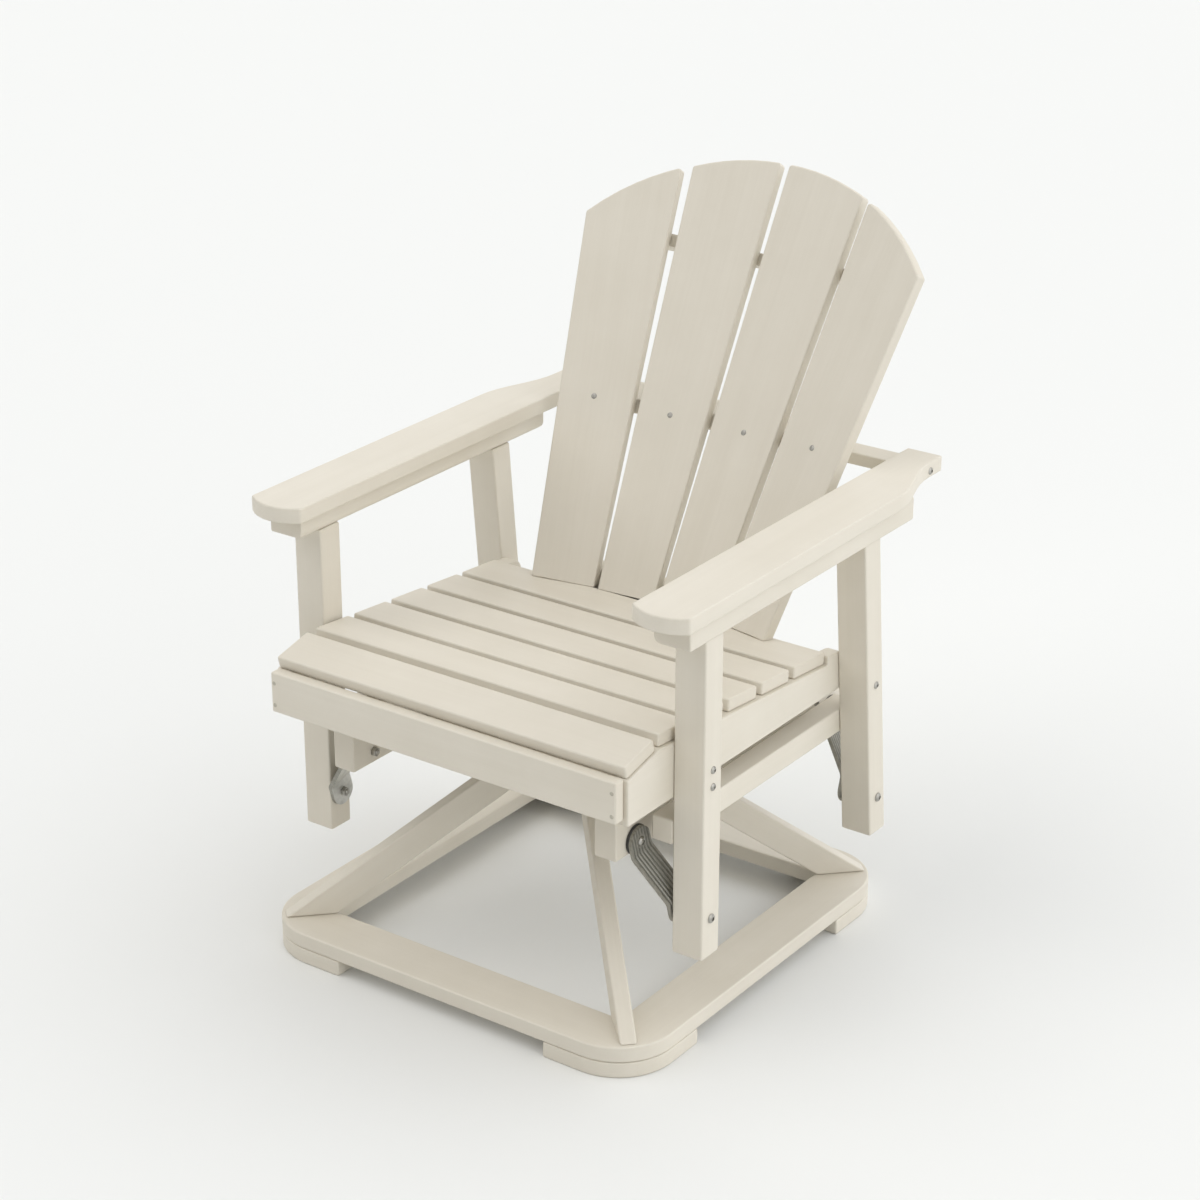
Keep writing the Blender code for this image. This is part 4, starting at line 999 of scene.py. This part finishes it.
def make_screws(screws, name, body, places, sizes, finish):
    """All screws of one kind on one body, as one piece, each in its place and facing outwards."""
    form = bmesh.new()
    for hit, _ in places:
        form.verts.new(hit)
    piece = new_object(name, form)
    facing = piece.data.attributes.new("facing", "FLOAT_VECTOR", "POINT")
    for (_, normal), entry in zip(places, facing.data):
        entry.vector = normal
    maker = piece.modifiers.new("screw_heads", "NODES")
    tree, inputs = screws
    maker.node_group = tree
    for size_name, size in zip(SCREW_SIZES, sizes):
        maker[inputs[size_name]] = size
    maker[inputs["Finish"]] = finish
    applied(piece)
    smoothed(piece)
    finished(piece, body)


def seat_screw_places():
    """Leg, arm, back and apron fasteners where the photograph shows them, mirrored to both sides."""
    bolts, backs, apron = [], [], []
    for side_name, side in SIDES:
        for part, y, z in SIDE_BOLTS:
            bolts.append(on_surface(part + side_name, (side, y + SWIVEL_AXIS_Y, z), (-side, 0, 0)))
        for left, right, x, z in SLAT_SCREWS:
            slat = right if side > 0 else left
            backs.append(on_surface(f"back_slat_{slat}", (side * x, -1, z), (0, 1, 0)))
        for z in APRON_SCREW_HEIGHTS:
            apron.append(on_surface("front_apron", (side * APRON_SCREW_X, -1, z), (0, 1, 0)))
    return bolts, backs, apron


def batten_screw_places():
    """Guessed screws through the battens from behind, a pair into each back slat."""
    places = []
    for batten, spots in BATTEN_SCREWS.items():
        low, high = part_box(batten)
        for x in spots:
            for side in (1, -1):
                places.append(on_surface(batten, (side * x, 1, (low[2] + high[2]) / 2), (0, -1, 0)))
    return places


def carriage_screw_places():
    """Guessed bolts through the carriage rails into its mounting board and cross board."""
    places = []
    for side_name, side in SIDES:
        for board, offsets in RAIL_BOLTS.items():
            low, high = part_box(board)
            for offset in offsets:
                start = (side, (low[1] + high[1]) / 2 + offset, (low[2] + high[2]) / 2)
                places.append(on_surface("carriage_rail_" + side_name, start, (-side, 0, 0)))
    return places


def plate_screw_places(plate, up):
    """Four screws near the corners of a swivel plate, on the face turned to the other plate."""
    low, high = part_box(plate)
    inset = PLATE_SCREW_INSET
    return [on_surface(plate, (x, y, up), (0, 0, -up))
            for x in (low[0] + inset, high[0] - inset) for y in (low[1] + inset, high[1] - inset)]


# The dressed chair

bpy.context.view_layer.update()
bpy.context.scene.view_settings.view_transform = "Standard"
make_camera()
make_studio()
lumber = lumber_finish()
arm_metal = arm_finish()
nylon = nylon_finish()
metals = {name: metal_finish(name, *recipe) for name, recipe in METALS.items()}
bolt_metal = metals["bright_bolt_metal"]
screw_metal = metals["dull_screw_metal"]
# Zinc for the swivel plates, also used as painted light on the swing arms' inner faces
zinc_and_lit_arm_face = metals["zinc_plate_and_painted_light"]
make_boards(lumber)
make_ring(lumber)
make_swing_arms(arm_metal, zinc_and_lit_arm_face)
make_pivots(bolt_metal, nylon)
screws = screw_tree()
side_bolts, back_screws, apron_screws = seat_screw_places()
make_screws(screws, "leg_and_arm_bolts", "seat", side_bolts, LARGE_HEAD, bolt_metal)
make_screws(screws, "back_slat_screws", "seat", back_screws, SLAT_HEAD, screw_metal)
make_screws(screws, "apron_screws", "seat", apron_screws, APRON_HEAD, metals["board_coloured_screw"])
make_screws(screws, "batten_screws", "seat", batten_screw_places(), BATTEN_HEAD, screw_metal)
make_screws(screws, "carriage_rail_bolts", "carriage", carriage_screw_places(), LARGE_HEAD, bolt_metal)
for plate, body, up in (("lower_swivel_plate", "base", 1), ("upper_swivel_plate", "carriage", -1)):
    places = plate_screw_places(plate, up)
    make_screws(screws, plate + "_screws", body, places, PLATE_HEAD, screw_metal)
    for material_slot in nodes[plate].material_slots:
        material_slot.material = zinc_and_lit_arm_face
make_bearing(metals["bearing_ball_metal"])
bpy.context.view_layer.update()
